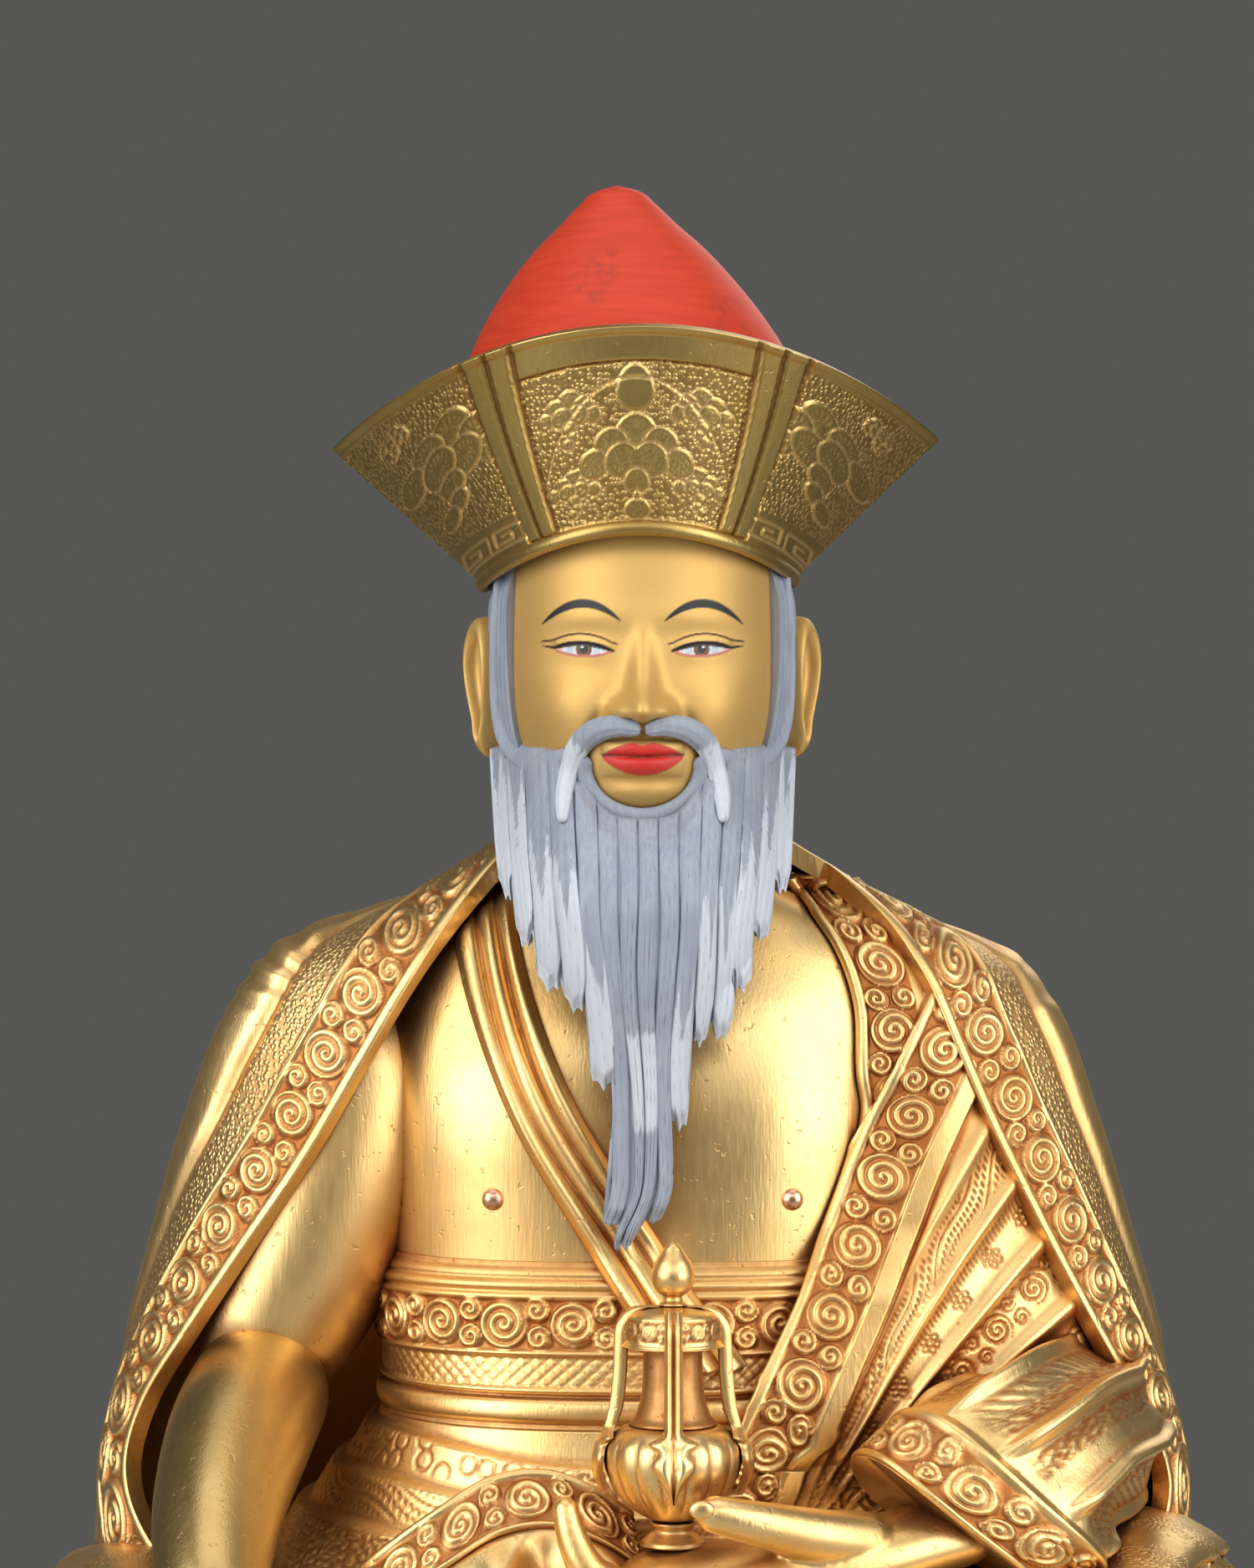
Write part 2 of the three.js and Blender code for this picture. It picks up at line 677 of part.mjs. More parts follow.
function brimForm(facing) {
  const panel = sheet(16, 3, (u, v, w) => brimPoint(Math.sin(Math.PI * (u - 0.5)), v, facing, SHEET_WALL * (w - 0.5)));
  const half = block(200, 100, 200, [0, facing * (50 + GAP / 2), HAT_LINE]);
  return panel.intersect(half);
}

function hatBandForm() {
  const height = 4;
  const thickness = 2.2;
  const columns = 28;
  return solid(
    bend(new THREE.TorusGeometry(3, 1, 4, columns), (x, y, z) => {
      const angle = Math.atan2(x, y);
      const across = Math.hypot(x, y) - 3;
      const u = Math.sin(angle);
      const facing = Math.cos(angle) > 0 ? -1 : 1;
      const [bx, by, bz] = brimPoint(u, 0, facing, thickness * across * 0.5 + 0.2);
      return [bx, by, bz - height / 2 - GAP + (z * height) / 2];
    }),
  );
}

const crownProfile = [
  [HAT_LINE + 3, HEAD_HALF_WIDTH + 0.6, HEAD_FRONT + 0.1, HEAD_BACK + 0.8],
  [HAT_LINE + 12, HEAD_HALF_WIDTH + 3.3, HEAD_FRONT - 1, HEAD_BACK + 2.8],
  [HAT_LINE + 24, HEAD_HALF_WIDTH + 4.5, 33.5, 30.5],
  [HAT_LINE + 31, 29.1, 31, 29.5],
  [HAT_LINE + 37, 25.2, 26.5, 25.6],
  [HAT_LINE + 44, 19.4, 20, 19.6],
  [HAT_LINE + 50, 14.2, 14.4, 14.2],
  [HAT_LINE + 58.7, 7.5, 7.5, 7.5],
  [HAT_LINE + 61.5, 4.5, 4.5, 4.5],
  [HAT_LINE + 63, 1.6, 1.6, 1.6],
];
const crownSection = byHeight(crownProfile);

function buildHat() {
  const foot = HAT_LINE + 3;
  const crown = (grow, bottom, top, rows, columns) =>
    stack({ bottom, top, rows, columns, section: crownSection, squareness: 2.1, grow });
  const outside = crown(0, foot, HAT_LINE + 63, 8, 18);
  const inside = crown(-SHEET_WALL, foot - 1, HAT_LINE + 59, 6, 18);
  piece("hat_crown", outside.subtract(inside), redPaint);
  piece("hat_brim_front", brimForm(-1), oldGilding);
  piece("hat_brim_back", brimForm(1), oldGilding);
  piece("hat_band", hatBandForm(), oldGilding);
}

// ---- Vase ----

const FOOT_TOP = PALM_TOP + GAP + 4;
const BODY_TOP = FOOT_TOP + 16;
const NECK_HEIGHT = 12.4;
const LID_FOOT = BODY_TOP + NECK_HEIGHT + 2 * GAP;
const LID_HEIGHT = 6.5;
const LID_TOP = LID_FOOT + LID_HEIGHT;
const FINIAL_HEIGHT = 10.6;
const NECK_RADIUS = 0.42 * VASE_BELLY_RADIUS;
const LID_RADIUS = 0.66 * VASE_BELLY_RADIUS;
const PEG_RADIUS = 1.5;
const PEG_DEPTH = 4;

function vaseRing(profile, columns = 14) {
  return turned(profile, columns).translate([VASE_X, VASE_Y, 0]);
}

function pegForm(grow) {
  const [foot, top] = [PALM_TOP - PEG_DEPTH - grow, PALM_TOP + GAP + 2];
  return vaseRing([[0, foot], [PEG_RADIUS + grow, foot], [PEG_RADIUS + grow, top + grow], [0, top + grow]], 8);
}

// A strap's path down the outside of the vase, as [distance from the axis, height].
const strapPath = [
  [0.42 * LID_RADIUS, LID_TOP + 0.9],
  [0.8 * LID_RADIUS, LID_TOP - 0.6],
  [LID_RADIUS + 1.2, LID_FOOT + 1.5],
  [LID_RADIUS + 1.6, LID_FOOT - 4],
  [VASE_BELLY_RADIUS - 0.4, BODY_TOP + 2.6],
  [VASE_BELLY_RADIUS + 1.6, BODY_TOP - 1],
  [VASE_BELLY_RADIUS + 1.7, BODY_TOP - 5],
  [VASE_BELLY_RADIUS + 0.4, BODY_TOP - 9.5],
];

function vaseStrapForm(turn) {
  const curve = new THREE.CatmullRomCurve3(strapPath.map(([r, z]) => new THREE.Vector3(r, z, 0)));
  const halfWidth = 1.5;
  const thickness = 1.2;
  const strap = sheet(1, 10, (u, v, w) => {
    const point = curve.getPoint(v);
    const tangent = curve.getTangent(v);
    const lift = thickness * (w - 0.5);
    return [lerp(-halfWidth, halfWidth, u), -(point.x - tangent.y * lift), point.y + tangent.x * lift];
  });
  return strap.rotate([0, 0, turn]).translate([VASE_X, VASE_Y, 0]).subtract(lidForm(GAP));
}

function lidForm(grow) {
  const shoulder = 0.68 * LID_HEIGHT;
  return vaseRing([
    [0, LID_FOOT - grow],
    [LID_RADIUS + grow, LID_FOOT - grow],
    [LID_RADIUS + grow, LID_FOOT + 1 + grow],
    [0.9 * LID_RADIUS + grow, LID_FOOT + shoulder + grow],
    [0.35 * LID_RADIUS + grow, LID_FOOT + LID_HEIGHT + grow],
    [0, LID_FOOT + LID_HEIGHT + grow],
  ]);
}

function buildVase() {
  const r = VASE_BELLY_RADIUS;
  const wall = 1.2;
  const footFoot = PALM_TOP + GAP;
  const foot = vaseRing([[0, footFoot], [4.9, footFoot], [4.9, footFoot + 1.2], [3.5, footFoot + 2.8], [3.7, FOOT_TOP], [0, FOOT_TOP]]);
  piece("vase_foot", foot.subtract(pegForm(GAP)), gilding);
  piece("vase_peg", pegForm(0), bareCopper);
  const [low, high] = [FOOT_TOP + GAP, BODY_TOP];
  piece(
    "vase_body",
    vaseRing([
      [0, low],
      [3.7, low],
      [0.62 * r, low + 2.6],
      [0.87 * r, low + 6],
      [0.985 * r, low + 10],
      [r, low + 13],
      [r, high - 1.6],
      [0.95 * r, high],
      [NECK_RADIUS, high],
      [NECK_RADIUS, high - wall],
      [0.86 * r, high - wall - 1],
      [0.86 * r, low + 9],
      [0.55 * r, low + 4.5],
      [0, low + wall + 1],
    ]),
    gilding,
  );
  const neckFoot = BODY_TOP + GAP;
  const neckTop = neckFoot + NECK_HEIGHT;
  piece(
    "vase_neck",
    vaseRing([
      [NECK_RADIUS - wall, neckFoot],
      [1.28 * NECK_RADIUS, neckFoot],
      [1.05 * NECK_RADIUS, lerp(neckFoot, neckTop, 0.45)],
      [NECK_RADIUS, neckTop - 1],
      [1.1 * NECK_RADIUS, neckTop],
      [NECK_RADIUS - wall, neckTop],
      [NECK_RADIUS - wall, neckFoot],
    ]),
    gilding,
  );
  piece("vase_lid", lidForm(0), gilding);
  const stem = LID_TOP + GAP;
  piece(
    "vase_finial",
    vaseRing([
      [0, stem],
      [1.6, stem],
      [1.2, stem + 1.4],
      [2.9, stem + 3.2],
      [3.35, stem + 5],
      [2.7, stem + 7.4],
      [1.1, stem + 9.6],
      [0, stem + FINIAL_HEIGHT],
    ]),
    gilding,
  );
  const turns = { front: 0, left: 90, back: 180, right: 270 };
  for (const [place, turn] of Object.entries(turns)) piece(`vase_strap_${place}`, vaseStrapForm(turn), gilding);
}

// ---- Putting the figure together ----

const STUD_X = 25.8;
const STUD_HEIGHT = 108;
const STUD_RADIUS = 1.9;

function studForm(side, grow) {
  const stud = new THREE.SphereGeometry(STUD_RADIUS + grow, 8, 6);
  const y = torsoFront(STUD_X, STUD_HEIGHT) - 0.5;
  return solid(stud.translate(side * STUD_X, y, STUD_HEIGHT));
}

// The robe's hem, a wavy border lying on the lap under the hands.
function hemForm() {
  const thickness = 2.2;
  return sheet(14, 1, (u, v, w) => {
    const wave = 3 * Math.sin(u * 2.5 * Math.PI);
    return [lerp(-42, 46, u), lerp(-78, -62, v) + wave, LAP_TOP + GAP + thickness * (1 - w)];
  });
}

function buildTorso() {
  const studs = [-1, 1].map((side) => studForm(side, GAP));
  const rivets = [-1, 1].map((side) => rivetForm(side, GAP));
  piece("lap", lapForm(0).subtract(lapHollow()), gilding);
  piece("torso", mainBody(cut(torsoForm(0), [torsoHollow(), ...studs, ...rivets])), gilding);
  piece("chest_stud_right", studForm(-1, 0), bareCopper);
  piece("chest_stud_left", studForm(1, 0), bareCopper);
  piece("waist_band", bandForm(BAND_FOOT, BAND_TOP, BAND_THICKNESS), gilding);
  piece("waist_belt", bandForm(BELT_FOOT, BAND_FOOT - GAP, BELT_THICKNESS), gilding);
  piece("skirt", mainBody(cut(skirtForm(0), [skirtForm(-CASTING_WALL), torsoForm(GAP)])), gilding);
}

function buildArms() {
  const round = [torsoForm(GAP), beltRoom(), skirtForm(GAP), lapForm(GAP)];
  const hollow = (stations, columns, rows) => limb(stations, { grow: -CASTING_WALL, columns, rows });
  const upperArm = cut(upperArmForm(0), [hollow(rightUpperArm, 8, 4), ...round]);
  piece("right_upper_arm", mainBody(upperArm), gilding);
  const forearm = cut(forearmForm(0), [hollow(rightForearm, 8, 4), upperArmForm(GAP), ...round]);
  piece("right_forearm", mainBody(forearm), gilding);
  const belowSeat = block(300, 300, 40, [0, 0, -20 + GAP]);
  const rightHand = cut(rightHandForm(0), [forearmForm(GAP), lapForm(GAP), belowSeat]);
  piece("right_hand", mainBody(rightHand), gilding);
  piece("left_sleeve", mainBody(cut(sleeveForm(0), [hollow(leftArm, 8, 6), ...round])), gilding);
  piece("left_hand", mainBody(cut(leftHandForm(0), [sleeveForm(GAP), pegForm(GAP), ...round])), gilding);
}

function buildGarments() {
  const arms = [upperArmForm(GAP), forearmForm(GAP), sleeveForm(GAP)];
  const body = [torsoForm(GAP), beltRoom(), skirtForm(GAP), lapForm(GAP)];
  const sash = cut(strapForm(), [torsoForm(GAP), beltRoom(), beardForm(GAP)]);
  piece("chest_sash", mainBody(sash), gilding);
  const robe = cut(robeForm(), [...body, ...arms, strapForm(), cloakForm(GAP), beardForm(GAP)]);
  piece("inner_robe", mainBody(robe), gilding);
  const hem = cut(hemForm(), [leftHandForm(GAP), rightHandForm(GAP), ...arms, skirtForm(GAP)]);
  piece("robe_hem", mainBody(hem), gilding);
  piece("cloak", mainBody(cut(cloakForm(0), [...arms, ...body, beardForm(GAP)])), gilding);
}

function buildBeard() {
  const face = [headForm(GAP), earForm(-1, GAP), earForm(1, GAP)];
  piece("beard", mainBody(cut(beardForm(0), [...face, torsoForm(GAP)])), beardPaint);
  const sides = { moustache_right: -1, moustache_left: 1 };
  for (const [name, side] of Object.entries(sides)) {
    piece(name, mainBody(cut(moustacheForm(side), [...face, beardForm(GAP)])), beardPaint);
  }
}

buildBase();
buildTorso();
buildArms();
buildGarments();
buildBeard();
buildHead();
buildHat();
buildVase();

export default whole;
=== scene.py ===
"""A gilded seated figure with a red-crowned hat, a long beard and a lidded vase, on a lotus base.

Shapes are worked out in millimetres in the figure's own frame: x to its left hand, y to its back, z up
from the seat. place() puts them into the model's frame in metres.
"""

import math
import bpy
import numpy as np
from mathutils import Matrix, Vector


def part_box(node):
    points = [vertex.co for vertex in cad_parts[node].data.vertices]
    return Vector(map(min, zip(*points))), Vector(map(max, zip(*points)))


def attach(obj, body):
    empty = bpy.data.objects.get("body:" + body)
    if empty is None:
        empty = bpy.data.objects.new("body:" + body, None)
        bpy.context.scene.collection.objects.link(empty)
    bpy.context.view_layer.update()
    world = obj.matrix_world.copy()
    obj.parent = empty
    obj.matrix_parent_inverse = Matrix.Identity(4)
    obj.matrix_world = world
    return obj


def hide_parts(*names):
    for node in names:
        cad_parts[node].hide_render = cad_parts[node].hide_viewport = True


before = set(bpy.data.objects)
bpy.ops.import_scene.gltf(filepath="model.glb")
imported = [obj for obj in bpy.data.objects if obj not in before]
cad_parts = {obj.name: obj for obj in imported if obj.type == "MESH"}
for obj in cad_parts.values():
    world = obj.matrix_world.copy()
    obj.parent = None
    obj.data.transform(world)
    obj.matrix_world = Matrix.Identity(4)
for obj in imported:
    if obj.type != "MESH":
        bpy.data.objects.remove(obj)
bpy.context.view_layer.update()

bl_info = {
    "name": "Gilded Seated Figure",
    "version": (1, 0, 0),
    "blender": (4, 5, 0),
    "location": "3D View > Sidebar > Figure",
    "description": "Builds the looks of a gilded seated figure round its packed frame",
    "category": "Add Mesh",
}

MM = 0.001


def node_box(node):
    """A node's lowest and highest corners, in millimetres."""
    low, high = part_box(node)
    return np.array(low) / MM, np.array(high) / MM


# The seat's height and the body's axis, from the frame.
SEAT = node_box("lap")[0][2]
AXIS_Y = (node_box("neck_rivet_left")[0][1] + node_box("neck_rivet_left")[1][1]) / 2
ORIGIN = np.array([0.0, AXIS_Y, SEAT])


def figure_box(node):
    """A node's corners in the figure's own frame."""
    low, high = node_box(node)
    return low - ORIGIN, high - ORIGIN


def heights_of(node):
    """The heights of a node's foot and top in the figure's own frame."""
    low, high = figure_box(node)
    return low[2], high[2]


LAP_TOP = heights_of("lap")[1]
BELT_FOOT, BELT_TOP = heights_of("waist_belt")
BAND_FOOT, BAND_TOP = heights_of("waist_band")
HAT_LINE = heights_of("hat_crown")[0] - 3
PALM_TOP = heights_of("vase_foot")[0] - 0.3
VASE_X = (figure_box("vase_lid")[0][0] + figure_box("vase_lid")[1][0]) / 2
VASE_Y = (figure_box("vase_lid")[0][1] + figure_box("vase_lid")[1][1]) / 2
VASE_TURN = np.linspace(0, 2 * np.pi, 160, endpoint=False)[None]
FLUTE_PAIRS = 8  # the bowl has twice as many flutes


# ---- Numbers and curves ----


def smooth(low, high, value):
    """0 below low, 1 above high, and a smooth step between. low may be the larger one."""
    share = np.clip((value - low) / (high - low), 0, 1)
    return share * share * (3 - 2 * share)


def window(value, low, full, still_full, high):
    """A smooth rise from low to full, and a smooth fall from still_full to high."""
    return smooth(low, full, value) * smooth(high, still_full, value)


def mix(a, b, share):
    """A value share of the way from a to b."""
    return a + (b - a) * share


def bell(value, centre, width):
    """A bell curve: 1 at the centre and about a third one width away."""
    return np.exp(-(((value - centre) / width) ** 2))


def mound(across, half_across, up, half_up):
    """A round bump: 1 in its middle, falling off as a bell both ways."""
    return np.exp(-((across / half_across) ** 2) - (up / half_up) ** 2)


def ridge(value, centre, half_width):
    """A half-round bar: 1 on the crest and 0 past the half width."""
    return np.sqrt(np.clip(1 - ((value - centre) / half_width) ** 2, 0, 1))


def chance(index, seed):
    """A repeatable number from 0 to 1 for each whole index."""
    wave = np.sin(np.asarray(index, float) * 12.9898 + seed * 78.233) * 43758.5453
    return wave - np.floor(wave)


def by_key(*rows):
    """A smooth function through rows of (key, value, ...): a cubic with slopes averaged at each row."""
    table = np.array(rows, float)
    keys, values = table[:, 0], table[:, 1:]
    rise = np.diff(values, axis=0) / np.diff(keys)[:, None]
    slopes = np.vstack([rise[:1], (rise[1:] + rise[:-1]) / 2, rise[-1:]])

    def at(key):
        """The curve's values at a key: a cubic through the rows with their mean slopes."""
        key = np.clip(np.asarray(key, float), keys[0], keys[-1])
        i = np.clip(np.searchsorted(keys, key) - 1, 0, len(keys) - 2)
        span = (keys[i + 1] - keys[i])[..., None]
        f = (key - keys[i])[..., None] / span
        start = (1 + 2 * f) * (1 - f) ** 2 * values[i] + f * (1 - f) ** 2 * span * slopes[i]
        end = f * f * (3 - 2 * f) * values[i + 1] - f * f * (1 - f) * span * slopes[i + 1]
        return np.moveaxis(start + end, -1, 0)

    return at


def outline(angle, half, front, back, power):
    """x and y of a rounded outline: angle 0 is the front and +x is at a quarter turn."""
    s, c = np.sin(angle), np.cos(angle)
    x = half * np.sign(s) * np.abs(s) ** (2 / power)
    y = -np.where(c > 0, front, back) * np.sign(c) * np.abs(c) ** (2 / power)
    return x, y


def front_at(x, half, front, power):
    """The y of an outline's front at a given x."""
    share = np.clip(np.abs(x) / half, 0, 1)
    return -front * (1 - share**power) ** (1 / power)


def grid(us, vs):
    """Two arrays of one value for each grid point, u along columns and v along rows."""
    return np.meshgrid(us, vs)


def stack(*parts):
    """Coordinates as one array, with x, y and z along its last axis."""
    return np.stack(np.broadcast_arrays(*parts), axis=-1).astype(float)


def normals(points, wrap=False):
    """Unit normals of a grid: the cross product of its column and row directions."""
    if wrap:
        across = np.roll(points, -1, 1) - np.roll(points, 1, 1)
    else:
        across = np.gradient(points, axis=1)
    normal = np.cross(across, np.gradient(points, axis=0))
    return normal / np.maximum(np.linalg.norm(normal, axis=-1, keepdims=True), 1e-9)


def raised(points, height, wrap=False):
    """A grid moved along its own normals by a height for each point."""
    return points + normals(points, wrap) * height[..., None]


# ---- Meshes ----


def place(points):
    """Points of the figure's frame as rows of metres in the model's frame."""
    return (np.asarray(points, float).reshape(-1, 3) + ORIGIN) * MM


def enclosed(vertices, faces):
    """The signed volume inside the faces, each fanned from its first corner."""
    total = 0.0
    for face in faces:
        a = vertices[face[:, 0]]
        for k in range(1, face.shape[1] - 1):
            b, c = vertices[face[:, k]], vertices[face[:, k + 1]]
            total += np.einsum("ij,ij->", a, np.cross(b, c)) / 6
    return total


def mesh_object(name, vertices, faces, attributes=None):
    """A smooth mesh from vertices in metres and arrays of faces. It turns the faces outwards."""
    if enclosed(vertices, faces) < 0:
        faces = [face[:, ::-1] for face in faces]
    loops = np.concatenate([face.ravel() for face in faces]).astype(np.int32)
    sizes = np.concatenate([np.full(len(face), face.shape[1]) for face in faces])
    starts = np.concatenate([[0], np.cumsum(sizes)[:-1]]).astype(np.int32)
    mesh = bpy.data.meshes.new(name)
    mesh.vertices.add(len(vertices))
    mesh.vertices.foreach_set("co", vertices.astype(np.float32).ravel())
    mesh.loops.add(len(loops))
    mesh.loops.foreach_set("vertex_index", loops)
    mesh.polygons.add(len(starts))
    mesh.polygons.foreach_set("loop_start", starts)
    for key, values in (attributes or {}).items():
        if values.shape[-1:] == (4,) and values.ndim == 2:
            layer = mesh.attributes.new(key, "FLOAT_COLOR", "POINT")
            layer.data.foreach_set("color", values.astype(np.float32).ravel())
        else:
            layer = mesh.attributes.new(key, "FLOAT", "POINT")
            layer.data.foreach_set("value", values.astype(np.float32).ravel())
    mesh.update(calc_edges=True)
    mesh.validate()
    mesh.shade_smooth()
    piece = bpy.data.objects.new(name, mesh)
    bpy.context.scene.collection.objects.link(piece)
    return piece


def quads(index, wrap=False):
    """Four-cornered faces of a grid of vertex indices. wrap joins the last column to the first."""
    if wrap:
        index = np.concatenate([index, index[:, :1]], axis=1)
    corners = [index[:-1, :-1], index[:-1, 1:], index[1:, 1:], index[1:, :-1]]
    return np.stack(corners, axis=-1).reshape(-1, 4)


def flat_attributes(attributes, count_after):
    """Grid attributes as one row for each vertex, with zeros for the vertices that follow the grid."""
    flat = {}
    for key, values in (attributes or {}).items():
        rows = values.reshape(-1, 4) if values.ndim == 3 else values.reshape(-1)
        pad = [(0, count_after)] + [(0, 0)] * (rows.ndim - 1)
        flat[key] = np.pad(rows, pad)
    return flat


def tube_mesh(points, attributes=None):
    """Vertices, faces and attributes of a grid wrapped round, each end closed on a middle point."""
    rows, columns = points.shape[:2]
    index = np.arange(rows * columns).reshape(rows, columns)
    ends = np.stack([points[0].mean(0), points[-1].mean(0)])
    vertices = np.concatenate([points.reshape(-1, 3), ends])
    faces = [quads(index, wrap=True)]
    for row, pole in ((index[0][::-1], rows * columns), (index[-1], rows * columns + 1)):
        faces.append(np.stack([row, np.roll(row, -1), np.full(columns, pole)], axis=-1))
    return vertices, faces, flat_attributes(attributes, 2)


def tube(name, points, attributes=None):
    """A grid wrapped round and closed at both ends, as an object."""
    vertices, faces, flat = tube_mesh(points, attributes)
    return mesh_object(name, place(vertices), faces, flat)


def slab(name, outer, inner, attributes=None, stride=4):
    """A closed sheet. Its back uses every stride-th point, and a flat rim of many-sided faces joins them."""
    rows, columns = outer.shape[:2]
    if (rows - 1) % stride or (columns - 1) % stride:
        raise ValueError(f"{name}: {rows} by {columns} points don't divide by the stride {stride}")
    inner = inner[::stride, ::stride]
    top = np.arange(rows * columns).reshape(rows, columns)
    under = np.arange(inner.shape[0] * inner.shape[1]).reshape(inner.shape[:2]) + top.size
    faces = [quads(top), quads(under)[:, ::-1]]
    sheet_count = sum(len(face) for face in faces)
    edges = (
        (top[0], under[0], False),
        (top[-1], under[-1], True),
        (top[:, 0], under[:, 0], True),
        (top[:, -1], under[:, -1], False),
    )
    for fine, coarse, flip in edges:
        spans = np.arange(len(coarse) - 1)
        run = fine[spans[:, None] * stride + np.arange(stride + 1)[None, ::-1]]
        rim = np.concatenate([run, coarse[spans][:, None], coarse[spans + 1][:, None]], axis=1)
        faces.append(rim[:, ::-1] if flip else rim)
    vertices = np.concatenate([outer.reshape(-1, 3), inner.reshape(-1, 3)])
    piece = mesh_object(name, place(vertices), faces, flat_attributes(attributes, under.size))
    soft = np.arange(len(piece.data.polygons)) < sheet_count
    piece.data.polygons.foreach_set("use_smooth", soft)
    return piece


def steps(low, high, cell, stride=4):
    """Evenly spaced values about a cell apart, whose count of gaps divides by the stride."""
    gaps = max(stride, int(math.ceil(abs(high - low) / cell / stride)) * stride)
    return np.linspace(low, high, gaps + 1)


def limb_points(stations, columns=48, rows=60, side=(1, 0, 0), flat=1.0, blunt=0.0, square=2.0):
    """Rings carried along a smooth path through (x, y, z, radius) stations, rounded at both ends."""
    table = np.array(stations, float)
    share = np.linspace(0, 1, len(table))
    along = 0.5 - 0.5 * np.cos(np.pi * np.linspace(0, 1, rows))
    x, y, z, radius = by_key(*np.column_stack([share, table]))(along)
    middle = stack(x, y, z)
    tangent = np.gradient(middle, along, axis=0)
    tangent /= np.linalg.norm(tangent, axis=1)[:, None]
    run = np.concatenate([[0], np.cumsum(np.linalg.norm(np.diff(middle, axis=0), axis=1))])
    from_end = np.minimum(run, run[-1] - run)
    rounded = np.sqrt(np.clip(1 - (1 - np.clip(from_end / radius, 0, 1)) ** 2, blunt**2 + 1e-4, 1))
    thin = np.array(side, float) - tangent * (tangent @ np.array(side, float))[:, None]
    thin /= np.linalg.norm(thin, axis=1)[:, None]
    wide = np.cross(tangent, thin)
    turn = np.linspace(0, 2 * np.pi, columns, endpoint=False)
    c, s = (np.sign(w) * np.abs(w) ** (2 / square) for w in (np.cos(turn), np.sin(turn)))
    reach = (radius * rounded)[:, None, None]
    return middle[:, None] + reach * (
        thin[:, None] * c[None, :, None] * flat + wide[:, None] * s[None, :, None]
    )


def fused(name, grids, cell, rounds=6):
    """Overlapping closed tubes made one skin: remeshed on a fine lattice, then relaxed."""
    vertices, faces, start = [], [[], []], 0
    for points in grids:
        part, (sides, lower, upper), _ = tube_mesh(points)
        if enclosed(part, [sides, lower, upper]) < 0:
            sides, lower, upper = (face[:, ::-1] for face in (sides, lower, upper))
        vertices.append(part)
        faces[0].append(sides + start)
        faces[1] += [lower + start, upper + start]
        start += len(part)
    faces = [np.concatenate(group) for group in faces]
    piece = mesh_object(name, place(np.concatenate(vertices)), faces)
    remesh = piece.modifiers.new("skin", "REMESH")
    remesh.mode = "VOXEL"
    remesh.voxel_size = cell * MM
    relax = piece.modifiers.new("relax", "SMOOTH")
    relax.iterations = rounds
    relax.factor = 0.5
    finish_modifiers(piece)
    return piece


def finish_modifiers(piece):
    """Turns a piece's modifiers into its mesh."""
    evaluated = piece.evaluated_get(bpy.context.evaluated_depsgraph_get())
    mesh = bpy.data.meshes.new_from_object(evaluated)
    piece.modifiers.clear()
    piece.data = mesh
    mesh.shade_smooth()


def dress(piece, finish, replaces=(), body="root"):
    """Gives a piece its finish, its body and the nodes that it stands for."""
    piece.data.materials.clear()
    piece.data.materials.append(finish_named(finish))
    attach(piece, body)
    if replaces:
        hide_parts(*replaces)


# ---- Ornament ----


def spiral(dx, dy, radius, turns, hand, phase):
    """A raised spiral and its disc: a crest that winds inwards, cut off at the radius."""
    reach = np.hypot(dx, dy) / radius
    turn = np.arctan2(dy, dx) * hand
    wave = 0.5 + 0.5 * np.cos(2 * np.pi * turns * reach - turn + phase)
    disc = smooth(1.04, 0.92, reach)
    return disc * smooth(0.1, 0.7, wave), disc


def scrolls(s, t, width, pitch, seed=0.0):
    """A running border of one large and two small spirals in turn. s runs along it and t from 0 to width.

    Returns the height, 1 on the crests and 0 on the ground, and the cavity, 1 in the ground and grooves."""
    crest = np.zeros(np.broadcast(s, t).shape)
    disc = crest.copy()
    middle = width / 2
    k = np.floor(s / pitch + 0.5)
    large_radius = min(0.47 * width, 0.36 * pitch)
    small_radius = min(0.245 * width, 0.5 * pitch - 0.62 * large_radius)
    centre = k * pitch + 0.5 * (chance(k, seed) - 0.5)
    phase = 6.28 * chance(k, seed + 1)
    a, b = spiral(s - centre, t - middle, large_radius * (0.95 + 0.1 * chance(k, seed + 2)), 2.6, 1, phase)
    crest, disc = np.maximum(crest, a), np.maximum(disc, b)
    k = np.floor(s / pitch)
    for side in (-1, 1):
        shift = (k + 0.5) * pitch + 0.6 * (chance(k, seed + 3 + side) - 0.5)
        across = t - middle - side * 0.27 * width
        phase = 6.28 * chance(k, seed + 5 + side)
        a, b = spiral(s - shift, across, small_radius, 1.7, side, phase)
        crest, disc = np.maximum(crest, a), np.maximum(disc, b)
    height = disc * (0.45 + 0.55 * crest)
    return height, np.clip(1.15 - disc * (0.35 + 0.8 * crest), 0, 1)


def pebbles(x, y, spacing, seed=0.0):
    """Distance from each point to the nearest pebble's middle, in units of the spacing."""
    column, row = np.floor(x / spacing), np.floor(y / spacing)
    nearest = np.full(np.broadcast(x, y).shape, 9.0)
    for i in (-1, 0, 1):
        for j in (-1, 0, 1):
            key = (column + i) * 57 + (row + j) * 131
            px = column + i + 0.5 + 0.55 * (chance(key, seed) - 0.5)
            py = row + j + 0.5 + 0.55 * (chance(key, seed + 1) - 0.5)
            nearest = np.minimum(nearest, np.hypot(x / spacing - px, y / spacing - py))
    return nearest


def hatch(x, y, spacing, angle):
    """Distance in millimetres from each point to the nearest of many parallel lines."""
    across = x * math.cos(angle) + y * math.sin(angle)
    return np.abs(across / spacing - np.round(across / spacing)) * spacing


